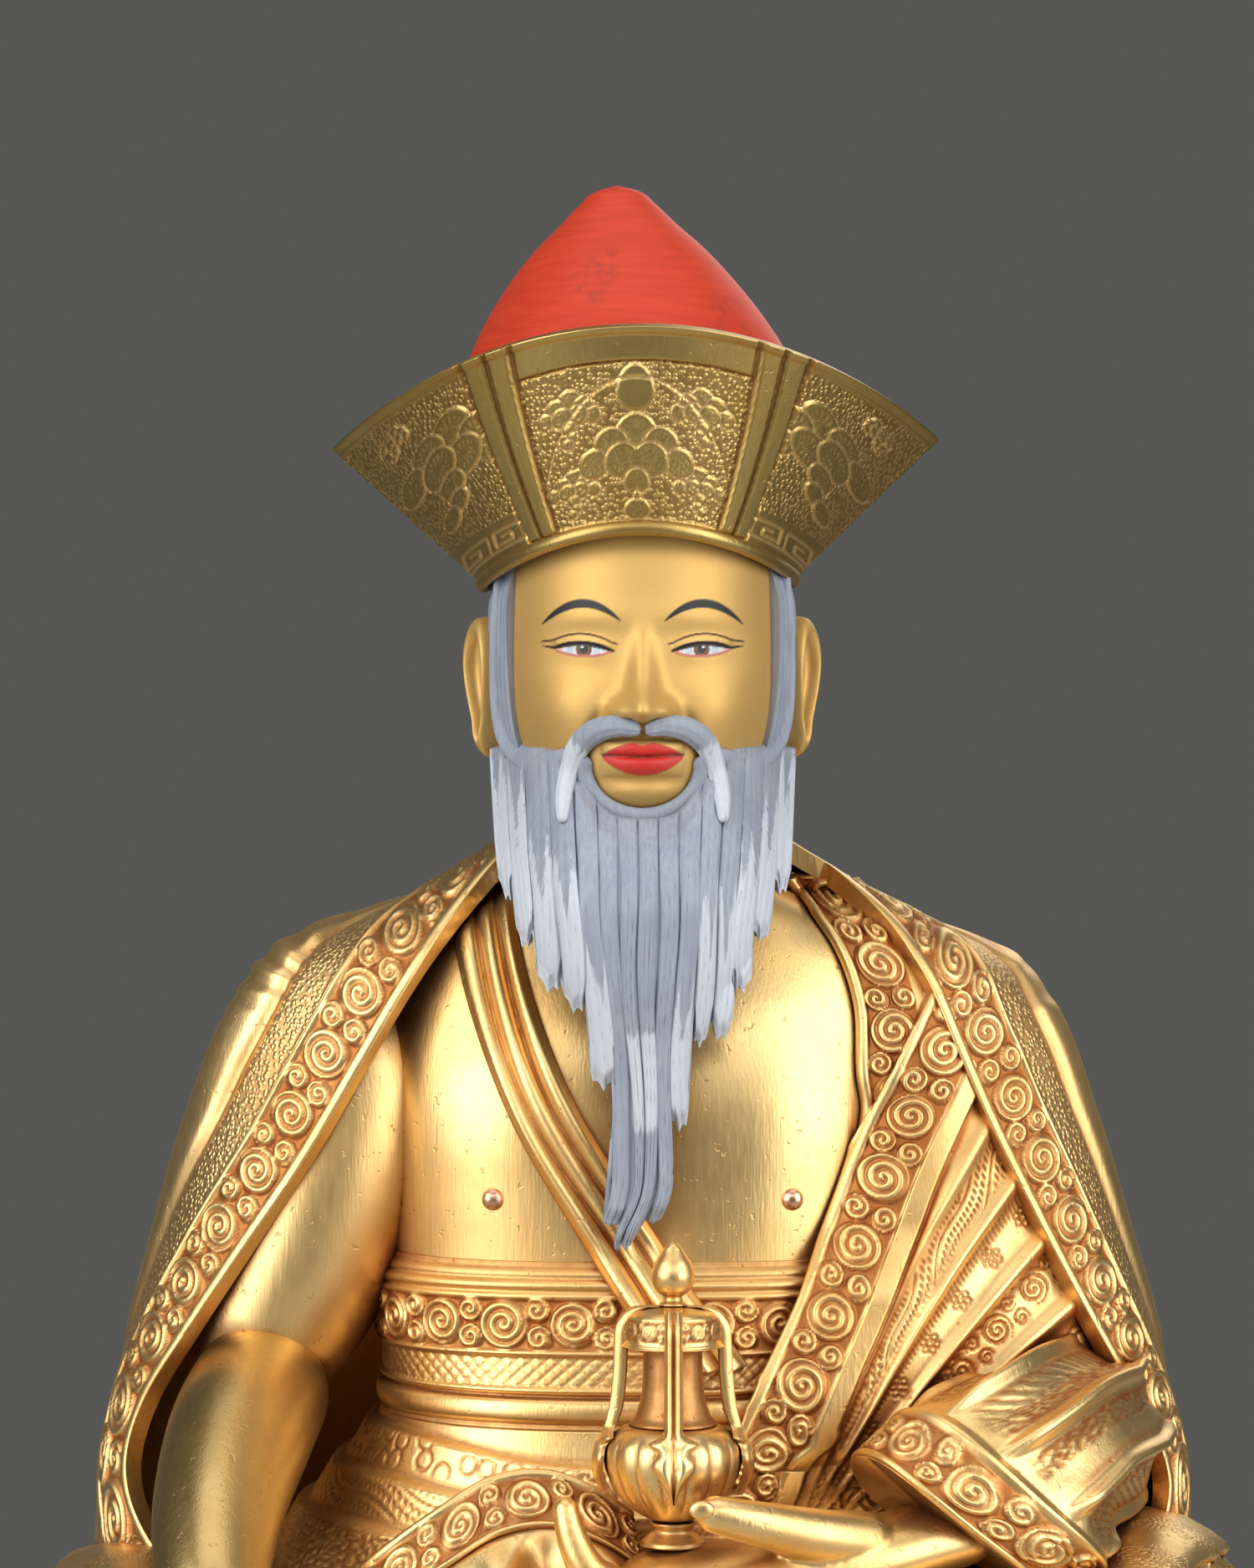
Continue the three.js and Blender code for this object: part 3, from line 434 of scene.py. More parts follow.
def groove(distance, half_width):
    """A cut line: 1 on the line and 0 past the half width."""
    return smooth(half_width, 0.25 * half_width, np.abs(distance))


# ---- Shader expressions ----


class Value:
    """A number socket that builds Math nodes when it is used in an expression."""

    def __init__(self, shader, socket):
        self.shader, self.socket = shader, socket

    def _math(self, operation, *others, clamp=False):
        """One math node on this value and the others."""
        values = [self.socket] + [o.socket if isinstance(o, Value) else o for o in others]
        return self.shader.node("ShaderNodeMath", {"operation": operation, "use_clamp": clamp}, values)

    def __add__(self, other):
        """The sum."""
        return self._math("ADD", other)

    __radd__ = __add__

    def __mul__(self, other):
        """The product."""
        return self._math("MULTIPLY", other)

    __rmul__ = __mul__

    def __sub__(self, other):
        """The difference."""
        return self._math("SUBTRACT", other)

    def __rsub__(self, other):
        """A number less this value."""
        return (self * -1.0)._math("ADD", other)

    def __truediv__(self, other):
        """The quotient."""
        return self._math("DIVIDE", other)

    def __pow__(self, other):
        """This value raised to a power."""
        return self._math("POWER", other)

    def max(self, other):
        """The larger of two values."""
        return self._math("MAXIMUM", other)

    def clamped(self):
        """The value kept between 0 and 1."""
        return self._math("ADD", 0.0, clamp=True)

    def smooth(self, low, high):
        """A smooth step from low to high."""
        settings = {"interpolation_type": "SMOOTHSTEP"}
        return self.shader.node(
            "ShaderNodeMapRange", settings, {"Value": self, "From Min": low, "From Max": high}
        )


class Shader:
    """A material's nodes, made one by one with node()."""

    def __init__(self, name):
        self.material = bpy.data.materials.new(name)
        self.material.use_nodes = True
        self.nodes = self.material.node_tree.nodes
        self.links = self.material.node_tree.links
        self.nodes.clear()
        self.output = self.nodes.new("ShaderNodeOutputMaterial")
        self.place = self.node("ShaderNodeTexCoord", {}, {}, "Object").socket

    def node(self, kind, settings, inputs, result=0):
        """Adds a node: its settings first, then its sockets' values or links. Returns one output."""
        made = self.nodes.new(kind)
        for key, value in settings.items():
            setattr(made, key, value)
        pairs = inputs.items() if isinstance(inputs, dict) else enumerate(inputs)
        for key, value in pairs:
            value = value.socket if isinstance(value, Value) else value
            if isinstance(value, bpy.types.NodeSocket):
                self.links.new(value, made.inputs[key])
            else:
                made.inputs[key].default_value = value
        return Value(self, made.outputs[result])

    def noise(self, scale, detail=3.0, stretch=(1, 1, 1)):
        """Noise on the object's own coordinates, stretched along an axis where its factor is small."""
        roughness = 0.5
        settings = {"operation": "MULTIPLY"}
        vector = self.node("ShaderNodeVectorMath", settings, [self.place, stretch]).socket
        inputs = {"Vector": vector, "Scale": scale, "Detail": detail, "Roughness": roughness}
        return self.node("ShaderNodeTexNoise", {}, inputs)

    def attribute(self, name, result="Fac"):
        """A value or colour that the mesh carries at each vertex."""
        return self.node("ShaderNodeAttribute", {"attribute_name": name}, {}, result)

    def blend(self, share, first, second):
        """A colour between two colours or links."""
        settings = {"data_type": "RGBA", "clamp_factor": True}
        return self.node("ShaderNodeMix", settings, {0: share, 6: first, 7: second}, 2)

    def crevice(self, reach, samples=6):
        """How shut in a point is, from 0 in the open to 1 in a crease."""
        return 1 - self.node("ShaderNodeAmbientOcclusion", {"samples": samples}, {"Distance": reach}, "AO")

    def bump(self, height, distance, strength=1.0):
        """A normal that takes its tilt from a height."""
        inputs = {"Height": height, "Distance": distance, "Strength": strength}
        return self.node("ShaderNodeBump", {}, inputs).socket

    def finish(self, **inputs):
        """Closes the material with its one shader and returns it."""
        names = {"color": "Base Color", "metallic": "Metallic", "roughness": "Roughness", "normal": "Normal"}
        sockets = {names.get(key, key): value for key, value in inputs.items()}
        surface = self.node("ShaderNodeBsdfPrincipled", {}, sockets)
        self.links.new(surface.socket, self.output.inputs["Surface"])
        return self.material


def rgb(color):
    """A colour with full cover."""
    return (*color, 1.0)


def gold_finish(name, pale, deep, patina, roughness, wear_and_highlight):
    """Fire gilding: burnished gold that clouds and warms a little, with patina in the hollows.

    Where the ground attribute is 1, the metal is ring-punched into small pebbles, with a little painted
    highlight on each pebble's top. Where the brim marks its chased lines and fret, the colour is a painted
    highlight in pale gold."""
    shader = Shader(name)
    clouds = shader.noise(38, 4).smooth(0.35, 0.7)
    haze = shader.noise(13, 3).smooth(0.45, 0.75)
    fine = shader.noise(900, 3, (1, 1, 0.25))
    scratch = shader.noise(2600, 2, (1, 1, 0.06))
    speck = shader.noise(420, 5)
    pits = shader.noise(650, 2).smooth(0.66, 0.74)
    creased = shader.crevice(0.013).smooth(0.22, 0.85)
    cavity = shader.attribute("cavity")
    ground = shader.attribute("ground")
    cells = shader.node(
        "ShaderNodeTexVoronoi", {}, {"Vector": shader.place, "Scale": 1050.0, "Randomness": 0.7}
    )
    pebble = (1 - cells.smooth(0.25, 0.6)) * ground
    cavity = cavity + (ground - pebble) * 0.4
    stain = creased * 0.85 + cavity * 0.9 + (speck - 0.5) * 0.8 * (creased + cavity + 0.08)
    stain = (stain + haze * 0.12 + pits * 0.3).clamped()
    color = shader.blend(clouds, rgb(pale), rgb(deep))
    color = shader.blend(stain, color, rgb(patina))
    # Painted highlight: pale gold over the brim's chased lines and fret, and a little on each pebble's top.
    color = shader.blend(shader.attribute("painted_highlight") + pebble * 0.35, color, rgb(wear_and_highlight))
    # Painted shade: the most shut-in creases are darkened towards near-black.
    crease_shade = (creased.smooth(0.8, 1.0) * 0.5).clamped()
    color = shader.blend(crease_shade, color, rgb(CREASE_SHADE))
    rough = (stain * 0.16 + fine * 0.12 + clouds * 0.06 + haze * 0.04 + (roughness - 0.09)).clamped()
    normal = shader.bump(fine * 0.5 + scratch * 0.5 - pits * 0.6 + pebble * 2.2, 0.00011, 0.6)
    return shader.finish(color=color, metallic=1.0, roughness=rough, normal=normal)


def skin_finish(light, dark):
    """Cold gold: matte gold wash, with the features painted on where the paint attribute says."""
    shader = Shader("cold_gold")
    paint = shader.attribute("paint", "Color")
    cover = shader.attribute("paint", "Alpha")
    grain = shader.noise(1500, 3)
    tone = shader.noise(60, 3).smooth(0.3, 0.75)
    color = shader.blend(tone, rgb(light), rgb(dark))
    # Painted shade: the face's creases are darkened towards brown.
    creased = shader.crevice(0.004).smooth(0.45, 1.0)
    color = shader.blend(creased * 0.6, color, rgb((0.42, 0.2, 0.05)))
    color = shader.blend(cover, color, paint)
    metallic = 0.6 - cover * 0.6
    rough = 0.52 + grain * 0.08 - cover * 0.06
    return shader.finish(
        color=color, metallic=metallic, roughness=rough, normal=shader.bump(grain, 0.00006, 0.5)
    )


def hair_finish(dark, light, white, seam_and_shade):
    """Grey-blue distemper with dark seams between the locks, deepened by painted shade in the creases, and
    white brush strokes towards the tips.
    """
    shader = Shader("beard_paint")
    brushed = shader.attribute("paint")
    streak = shader.noise(1300, 4, (1, 1, 0.06))
    cloud = shader.noise(120, 3)
    creased = shader.crevice(0.0025).smooth(0.35, 0.95)
    cavity = shader.attribute("cavity")
    tone = (cloud.smooth(0.3, 0.7) * 0.6 + streak.smooth(0.35, 0.65) * 0.5).clamped()
    color = shader.blend(tone, rgb(dark), rgb(light))
    strokes = (brushed * 1.6 + (streak - 0.5) * 2.6 * brushed - 0.4).smooth(0.2, 0.6)
    color = shader.blend(strokes * 0.85, color, rgb(white))
    # Dark seams: painted lines in the cuts and furrows, and painted shade where the locks are shut in.
    shut_in = (creased * 0.8 + cavity * (0.1 + streak * 0.9)).clamped()
    color = shader.blend(shut_in * 0.85, color, rgb(seam_and_shade))
    normal = shader.bump(streak + strokes * 0.4, 0.00026, 0.8)
    return shader.finish(color=color, metallic=0.0, roughness=0.55, normal=normal)


def red_finish(deep, bright, wear_and_highlight):
    """Red mineral paint with fine crosswise brush marks and dark rubs."""
    shader = Shader("red_paint")
    brush = shader.noise(900, 4, (0.12, 0.12, 1))
    patches = shader.noise(70, 4).smooth(0.5, 0.74)
    fine = shader.noise(500, 5)
    color = shader.blend(brush.smooth(0.3, 0.75), rgb(deep), rgb(bright))
    rub = patches * fine.smooth(0.42, 0.7) * 0.7
    color = shader.blend(rub, color, rgb(wear_and_highlight))
    look = {"color": color, "metallic": 0.0, "roughness": 0.44 + brush * 0.12, "Specular IOR Level": 0.25}
    return shader.finish(normal=shader.bump(brush, 0.00006, 0.6), **look)


# Near-black colour of the painted shade in the gilding's deepest creases.
CREASE_SHADE = (0.06, 0.022, 0.007)
# Each metal's pale and deep tones, its patina and its roughness. None stands for a colour of the settings.
METALS = {
    "gilding": (None, None, None, 0.38),
    "dark_gilding": ((0.6, 0.42, 0.17), (0.5, 0.33, 0.12), None, 0.36),
    "old_gilding": ((0.58, 0.41, 0.14), (0.47, 0.31, 0.09), (0.27, 0.13, 0.035), 0.4),
    "bare_copper": ((0.8, 0.5, 0.33), (0.72, 0.42, 0.26), (0.3, 0.12, 0.05), 0.3),
    "sheet_copper": ((0.66, 0.37, 0.22), (0.56, 0.29, 0.16), (0.2, 0.08, 0.04), 0.42),
}
FINISHES = {}


def mix_finishes(settings):
    """Makes every finish, in the colours of the settings."""
    house = (tuple(settings.pale_gold), tuple(settings.deep_gold), tuple(settings.patina))
    for name, (*colors, roughness) in METALS.items():
        colors = [own or usual for own, usual in zip(colors, house)]
        FINISHES[name] = gold_finish(name, *colors, roughness, house[0])
    FINISHES["skin"] = skin_finish(settings.skin_gold, (0.68, 0.42, 0.13))
    FINISHES["hair"] = hair_finish(
        settings.hair, (0.33, 0.37, 0.43), settings.hair_white, (0.085, 0.115, 0.17)
    )
    FINISHES["red_paint"] = red_finish(settings.red, (0.56, 0.048, 0.016), (0.22, 0.03, 0.02))


def finish_named(name):
    """A finish by its name. The first call makes them all."""
    if not FINISHES:
        mix_finishes(bpy.context.scene.figure_settings)
    return FINISHES[name]


# ---- Body ----

# Rows of height, half width, and depth to the front and to the back.
TORSO = by_key(
    (LAP_TOP, 44, 36, 26),
    (60, 45, 38, 25),
    (75, 44.5, 37, 24),
    (90, 45.5, 34, 25),
    (108, 47, 32.5, 27),
    (125, 48.5, 31, 28),
    (140, 48, 27.5, 27.5),
    (148, 46, 24, 25.5),
    (152.5, 42, 22, 24),
    (156.5, 35, 20, 21.5),
    (160, 27.5, 18, 19),
    (163.5, 20.5, 16, 16.5),
    (167, 15.5, 14.5, 14.8),
    (172, 14, 13.5, 14),
)
TORSO_POWER = 2.4


def torso_front(x, z):
    """The y of the torso's front at an x and a height, before its muscles."""
    half, front, _ = TORSO(z)
    return front_at(x, half, front, TORSO_POWER)


def muscle(x, z):
    """How far the bare chest stands out: two soft breasts and the shallow groove between them."""
    breasts = 1.6 * mound(np.abs(x) - 23, 15, z - 122, 20)
    middle = -0.7 * bell(x, 0, 4.5) * window(z, 88, 104, 130, 152)
    return breasts + middle


def build_torso():
    """The hollow chest and belly: rounded outlines by height, raised by the breasts in front."""
    turn, z = grid(np.linspace(-np.pi, np.pi, 220, endpoint=False), np.linspace(LAP_TOP + 0.4, 171.5, 120))
    x, y = outline(turn, *TORSO(z), TORSO_POWER)
    points = stack(x, y, z)
    front = smooth(0.2, -0.3, np.abs(turn) - 1.2)
    points = raised(points, muscle(x, z) * front, wrap=True)
    piece = tube("chest", points)
    dress(piece, "gilding", ["torso"])


def build_studs():
    """A low dome on a short neck, set in each breast."""
    for name in ("right", "left"):
        low, high = figure_box(f"chest_stud_{name}")
        x, z = (low[0] + high[0]) / 2, (low[2] + high[2]) / 2
        y = torso_front(np.array(x), np.array(z)) - muscle(np.array(x), np.array(z))
        reach, turn = grid(np.linspace(0.02, 1, 16), np.linspace(0, 2 * np.pi, 28, endpoint=False))
        reach, turn = reach.T, turn.T
        radius = 2.0 * reach
        dome = 1.9 * np.sqrt(np.clip(1 - (reach * 0.93) ** 2, 0, 1)) - 0.6 * smooth(0.9, 1, reach)
        points = stack(x + radius * np.cos(turn), y + 0.4 - dome, z + radius * np.sin(turn))
        rim = stack(x + 1.5 * np.cos(turn[-1:]), y + 1.0 + 0 * turn[-1:], z + 1.5 * np.sin(turn[-1:]))
        piece = tube(f"stud_{name}", np.concatenate([points, rim]))
        dress(piece, "bare_copper", [f"chest_stud_{name}"])


# The x of the strap's middle, by height.
STRAP_LINE = by_key((80, 11.2), (91, 3), (106, -7), (123, -17), (142, -24.6), (156, -28), (164, -29))


def build_sash():
    """Three rounded ribs side by side, carried down the chest along the strap's line."""
    across, z = grid(steps(-5.6, 5.6, 0.25), steps(79.5, 163, 0.6))
    (centre,) = STRAP_LINE(z)
    slope = np.gradient(centre[:, 0], z[:, 0])[:, None]
    sway = 0.5 * np.sin(z / 9) * (1 - (across / 5.6) ** 2)
    x = centre + across * np.sqrt(1 + slope**2) * 1.02
    phase = (across + sway) / 11.2 + 0.5
    ribs = np.abs(np.sin(np.pi * phase * 3)) ** 0.75
    edge = smooth(5.6, 4.4, np.abs(across)) ** 0.4
    rise = 1.0 + (1.9 + 0.5 * np.sin(z / 13 + 4 * phase)) * ribs * edge
    off = mix(3.2, 0.0, smooth(BAND_TOP - 3, BAND_TOP + 9, z))
    y = torso_front(x, z) - muscle(x, z) - off
    points = stack(x, y - rise, z)
    cavity = smooth(0.45, 0.05, ribs)
    piece = slab("sash", points, stack(x, y + 0.8, z), {"cavity": cavity * 0.9})
    dress(piece, "gilding", ["chest_sash"])


def around(z, off, cell, reach):
    """A grid on the torso's outline from -reach to reach radians, off the skin by a distance."""
    turn, height = grid(steps(-reach, reach, cell / 42), z)
    half, front, back = TORSO(height)
    x, y = outline(turn, half + off, front + off, back + off, TORSO_POWER)
    points = stack(x, y, height)
    run = np.concatenate(
        [np.zeros((len(z), 1)), np.cumsum(np.linalg.norm(np.diff(points, axis=1), axis=2), axis=1)], 1
    )
    return points, run - run[:, -1:] / 2, height


def build_waist():
    """The band: a rolled top edge, a scroll border and a cross-hatched border. Then the plain belt."""
    points, s, z = around(steps(BAND_FOOT + 1.6, BAND_TOP + 5.5, 0.32), 0.5, 0.34, 1.62)
    foot = BAND_FOOT + 8.8
    t = z - foot
    width = BAND_TOP - 0.9 - foot
    inside = window(t, -0.1, 0.3, width - 0.3, width + 0.1)
    height, cavity = scrolls(s, np.clip(t, 0, width), width, 11.8, 3)
    crossed = np.maximum(groove(hatch(s, z, 1.7, 0.85), 0.22), groove(hatch(s, z, 1.7, -0.85), 0.22))
    low = window(z, BAND_FOOT + 2.4, BAND_FOOT + 2.9, foot - 1.4, foot - 0.9)
    rims = ridge(z, foot - 0.5, 0.5) + ridge(z, BAND_TOP - 0.5, 0.7) + 0.8 * ridge(z, BAND_FOOT + 2.2, 0.5)
    rolls = ridge(z, BAND_TOP + 1.6, 0.9) * 0.7 + ridge(z, BAND_TOP + 3.6, 0.8) * 0.45
    above = smooth(BAND_TOP + 0.2, BAND_TOP + 5.5, z)
    rise = mix(1.4, -0.1, above) + inside * height * 1.0 - 0.22 * crossed * low + 0.7 * rims + rolls
    cavity = np.clip(cavity * inside + 0.6 * crossed * low + 0.6 * above * (1 - rolls), 0, 1)
    piece = slab("waist_border", raised(points, rise), raised(points, 0 * rise - 0.6), {"cavity": cavity})
    dress(piece, "gilding", ["waist_band"])
    points, s, z = around(steps(BELT_FOOT - 0.4, BELT_TOP + 2.2, 0.3), 0.5, 0.6, 1.62)
    middle = (BELT_FOOT + BELT_TOP) / 2 + 1.2
    rise = 0.8 + 1.7 * ridge(z, middle, 2.1) ** 0.6 + 0.8 * ridge(z, middle - 2.9, 0.7)
    cavity = 0.6 * smooth(0.3, 0.0, ridge(z, middle, 2.1)) + 0 * rise
    piece = slab("belt", raised(points, rise), raised(points, 0 * rise - 0.4), {"cavity": cavity})
    dress(piece, "gilding", ["waist_belt"])


def leaves(x, y, spacing):
    """Chased feather leaves: rows of short slanting cuts on both sides of wandering veins."""
    vein = hatch(x, y + 1.2 * np.sin(x / 3.1), spacing, 1.25)
    beside = smooth(0.2 * spacing, 0.26 * spacing, vein) * smooth(0.48 * spacing, 0.4 * spacing, vein)
    return np.maximum(groove(vein, 0.25), groove(hatch(x, y, 0.95, 0.35), 0.24) * beside)


def build_skirt():
    """The robe below the belt: three stepped tiers that flare to the lap, with chased leaves."""
    points, s, z = around(steps(LAP_TOP + 0.3, BELT_FOOT + 0.2, 0.34), 2.0, 0.42, 1.75)
    drop = np.clip((BELT_FOOT - z) / (BELT_FOOT - LAP_TOP), 0, 1)
    slant = s / 40
    line = drop - 0.10 * slant + 0.03 * np.sin(s / 9)
    tier_lines = ((1.6, 0.18), (1.8, 0.44), (2.0, 0.70))
    tiers = sum(tall * smooth(0, 0.05, line - start) for tall, start in tier_lines)
    sides = smooth(20, 60, np.abs(s))
    flare = (6.5 + 11 * sides) * drop**1.2
    folds = 0.6 * np.sin(s / 5.2 + 5 * drop) * drop
    floral = groove(np.abs(pebbles(s, z, 4.6, 4) - 0.34) * 4.6, 0.32) * window(line, 0.2, 0.24, 0.39, 0.43)
    cuts = leaves(s, z * 1.2, 5.5) * window(line, 0.46, 0.5, 0.66, 0.69)
    scale = groove(np.abs(pebbles(s, z, 1.6, 6) - 0.45) * 1.6, 0.22) * smooth(0.72, 0.76, line)
    chased = np.clip(floral + cuts + scale, 0, 1)
    under = 0.7 * sum(bell(line, start - 0.005, 0.02) for _, start in tier_lines)
    rise = (flare + tiers + folds) * smooth(24, 12, s) - 0.3 * chased
    cavity = np.clip(0.9 * chased + under, 0, 1)
    piece = slab("lower_robe", raised(points, rise), raised(points, 0 * rise - 1.5), {"cavity": cavity})
    dress(piece, "gilding", ["skirt"])


# ---- Arms and hands ----


def build_right_arm():
    """An upper arm and a forearm, each a tube of rings that swell and taper along a path."""
    upper = [
        (-42, -3, 142, 12), (-49.5, -5, 129, 16), (-54.5, -6, 113, 17.8), (-60.5, -7, 96, 17),
        (-67.6, -8, 80, 14.8), (-69.3, -12, 70, 12.8)
    ]
    piece = tube("upper_arm", limb_points(upper, 90, 120, blunt=0.3))
    dress(piece, "gilding", ["right_upper_arm"])
    lower = [
        (-65.4, -7, 75, 11.6), (-66.6, -15, 74, 12.2), (-69.4, -31, 67.5, 12.5), (-71.5, -48, 58, 11.2),
        (-71.4, -62, 49, 9.6), (-69.5, -73, 39.5, 8.4)
    ]
    piece = tube("forearm", limb_points(lower, 90, 120, blunt=0.5))
    dress(piece, "dark_gilding", ["right_forearm"])


def finger(points, radius, tip):
    """A finger: a tapering tube through its joints."""
    stations = [(*p, mix(radius, tip, i / (len(points) - 1))) for i, p in enumerate(points)]
    return limb_points(stations, 20, 24, blunt=0.2)


def build_right_hand():
    """A hand that reaches down over the knee: a flat palm, four fingers and a thumb, fused."""
    palm = [(-71, -66, 46, 8.2), (-70, -74, 40, 9.8), (-68.5, -81.5, 32, 10.4), (-67, -85.5, 25, 9.4)]
    parts = [limb_points(palm, 40, 40, (0, 0.6, 0.8), 0.6)]
    for i, x in enumerate((-75.2, -69.6, -64, -58.6)):
        length = (19, 23, 22.5, 18)[i]
        middle, tip = (x * 0.99, -89, 28 - 0.5 * length), (x * 0.98, -89.3, 28 - length)
        parts.append(finger([(x * 0.995, -79, 35), (x, -85, 28), middle, tip], 3.4, 2.4))
    parts.append(finger([(-61, -69, 42), (-56.5, -77, 36), (-54, -83.5, 28), (-53.3, -85.5, 22.5)], 4.2, 2.6))
    piece = fused("right_hand_skin", parts, 0.6)
    dress(piece, "dark_gilding", ["right_hand"])


def build_left_hand():
    """A flat palm under the vase, four fingers to the right, the first finger's curl and the thumb."""
    palm = PALM_TOP - 5.8
    back = (
        (58, -46, 7, 9.5), (46, -54, 5.5, 9.4), (32, -60, 3, 10.2), (12, -62.5, 0.2, 10.8),
        (-5, -62.5, -0.2, 9)
    )
    back = [(x, y, palm + up, radius) for x, y, up, radius in back]
    parts = [limb_points(back, 44, 60, (0, 0, 1), 0.62)]
    for i, y in enumerate((-70.5, -65, -59.5, -54)):
        reach, lift = (-19, -25, -25, -21)[i], (2.5, 1.2, 0.5, 0.5)[i]
        joints = ((2, 0), (reach * 0.35, -0.4), (reach * 0.75, 0), (reach, lift))
        parts.append(finger([(x, y, palm + up) for x, up in joints], 3.4, 2.2))
    beside = VASE_X - 15.8
    raised_finger = (
        (-4, -70, 0.5), (beside + 2.5, -72, 3), (beside - 0.6, -71.5, 8.5), (beside - 2.4, -70, 15.5)
    )
    thumb = ((40, -60, 6), (29, -68, 8.6), (18.5, -73.5, 11.6), (8.6, -76.2, 14.2))
    for path, radius, tip in ((raised_finger, 3.9, 2.0), (thumb, 5.4, 2.9)):
        parts.append(finger([(x, y, palm + up) for x, y, up in path], radius, tip))
    piece = fused("left_hand_skin", parts, 0.5)
    dress(piece, "gilding", ["left_hand"])
    build_nail((9.4, -78.6, palm + 14.6))


def build_nail(middle):
    """A thumbnail: a shallow oval dome."""
    reach, turn = grid(np.linspace(0.04, 1, 10), np.linspace(0, 2 * np.pi, 32, endpoint=False))
    reach, turn = reach.T, turn.T
    x = middle[0] + 2.1 * reach * np.cos(turn)
    z = middle[2] + 1.45 * reach * np.sin(turn)
    y = middle[1] - 0.55 * np.sqrt(np.clip(1 - reach**2, 0, 1)) + 0.25 * ((x - middle[0]) / 2) ** 2 + 0.0 * z
    back = stack(x[-1:] * 1.0, y[-1:] + 0.8, z[-1:])
    piece = tube("thumbnail", np.concatenate([stack(x, y, z), back]))
    dress(piece, "gilding")


# ---- Cloak ----

# Rows of height, half width, and depth to the front and to the back.
CLOAK = by_key(
    (2, 100, 52, 50),
    (20, 99, 51, 49.5),
    (48, 98, 50, 48.5),
    (59, 97.5, 48, 47.5),
    (80, 92.5, 44, 45.5),
    (100, 86, 39, 44),
    (120, 79.5, 35, 42),
    (140, 71.5, 31, 39),
    (150, 62.5, 28, 36),
    (156, 50, 25.5, 33),
    (161, 39.5, 23, 29.5),
    (166, 30.5, 21, 26),
    (171, 22.5, 18, 21),
)
CLOAK_POWER = 2.1
CLOAK_TOP = 171
# Where the front edge lies to each side, by height.
EDGE_X = {
    -1: by_key(
        (2, 57), (24, 66.5), (44, 81), (50, 86), (56, 89), (62, 89.6), (72, 86.5), (84, 79), (98, 69.5),
        (114, 58.5), (130, 49), (145, 40.2), (156, 33), (166, 25), (171, 20)
    ),
    1: by_key(
        (2, 62), (24, 72), (44, 86), (50, 90), (56, 91.6), (62, 90.6), (70, 87), (80, 81.2), (92, 74.5),
        (106, 67.2), (120, 60.3), (134, 54.2), (146, 49), (156, 42), (166, 31), (171, 23)
    ),
}
BORDER = 12.6  # from the cloak's edge to the inner line of its scroll border


def cloak_point(side, z, distance):
    """Points on the cloak's outline at heights z, a distance round from its front edge."""
    half, front, back = (row[:, None] for row in CLOAK(z))
    edge = EDGE_X[side](z)[0][:, None]
    start = np.arcsin(np.clip(edge / half, 0, 0.999) ** (CLOAK_POWER / 2))
    fine = start + (np.pi - start) * np.linspace(0, 1, 500)[None]
    x, y = outline(fine, half, front, back, CLOAK_POWER)
    run = np.concatenate([np.zeros((len(z), 1)), np.cumsum(np.hypot(np.diff(x), np.diff(y)), axis=1)], axis=1)
    share = distance if distance.ndim == 2 else np.broadcast_to(distance, (len(z), len(distance)))
    lift = np.arange(len(z))[:, None] * 1e4
    angle = np.interp(share + lift, (run + lift).ravel(), fine.ravel())
    x, y = outline(angle, half, front, back, CLOAK_POWER)
    return stack(side * x, y, z[:, None] + 0 * x), run[:, -1]


def edge_frame(side, z):
    """Along each height: the edge's slope, and the distance run along the edge."""
    edge = EDGE_X[side](z)[0]
    slope = np.gradient(edge, z) * 1.12
    run = np.concatenate([[0], np.cumsum(np.sqrt(1 + slope[1:] ** 2) * np.diff(z))])
    return slope[:, None], run[:, None]


def cloak_relief(side, t, s, x, z):
    """Height and cavity of the cloak t in from its edge: rim, scrolls, stippled band, then soft folds."""
    rim = ridge(t, 0.9, 1.3) ** 0.8 * 1.1
    line = ridge(t, BORDER - 0.5, 0.55) * 0.7
    width = BORDER - 3.0
    inside = window(t, 1.9, 2.3, BORDER - 1.3, BORDER - 0.9)
    height, cavity = scrolls(s, np.clip(t - 2.0, 0, width), width, 12.6, 11 + side)
    stipple_band = window(t, BORDER + 0.2, BORDER + 0.8, BORDER + 7.0, BORDER + 7.8)
    valley = -1.3 * bell(t, BORDER + 8.8, 1.3) * smooth(40, 60, z)
    roll = 2.6 * bell(t, BORDER + 17.0, 6.5) * window(z, 44, 80, 150, 168)
    valley2 = -1.4 * bell(t, BORDER + 29, 2.6) * smooth(60, 90, z)
    rope_zone = bell(t, BORDER + 15, 8) * bell(z, 148, 7) * smooth(BORDER + 7, BORDER + 9, t)
    rope = np.sin((s * 0.9 + t * 0.55) * 1.9)
    fan = x / np.interp(z, (2, 60, 120, 171), (15.5, 14.5, 12, 7))
    fold = 0.5 + 0.5 * np.cos(2 * np.pi * (fan + 0.09 * np.sin(z / 21 + 2 * fan)))
    back = 2.0 * fold**1.6 * smooth(BORDER + 32, BORDER + 50, t) * smooth(172, 150, z)
    crossed = np.maximum(groove(hatch(s, t, 1.7, 0.8), 0.24), groove(hatch(s, t, 1.7, -0.8), 0.24))
    crossed = crossed * window(t, BORDER + 20, BORDER + 21, BORDER + 26, BORDER + 27)
    relief = rim + line + inside * height * 0.95 + stipple_band * -0.2
    relief = relief + valley + roll + valley2 + 0.5 * rope * rope_zone + back - 0.18 * crossed
    dark = (
        inside * cavity + 0.5 * bell(t, BORDER + 8.8, 1.1) + 0.5 * crossed
        + 0.5 * np.clip(-rope, 0, 1) * rope_zone
    )
    return relief, {"cavity": np.clip(dark, 0, 1), "ground": stipple_band}


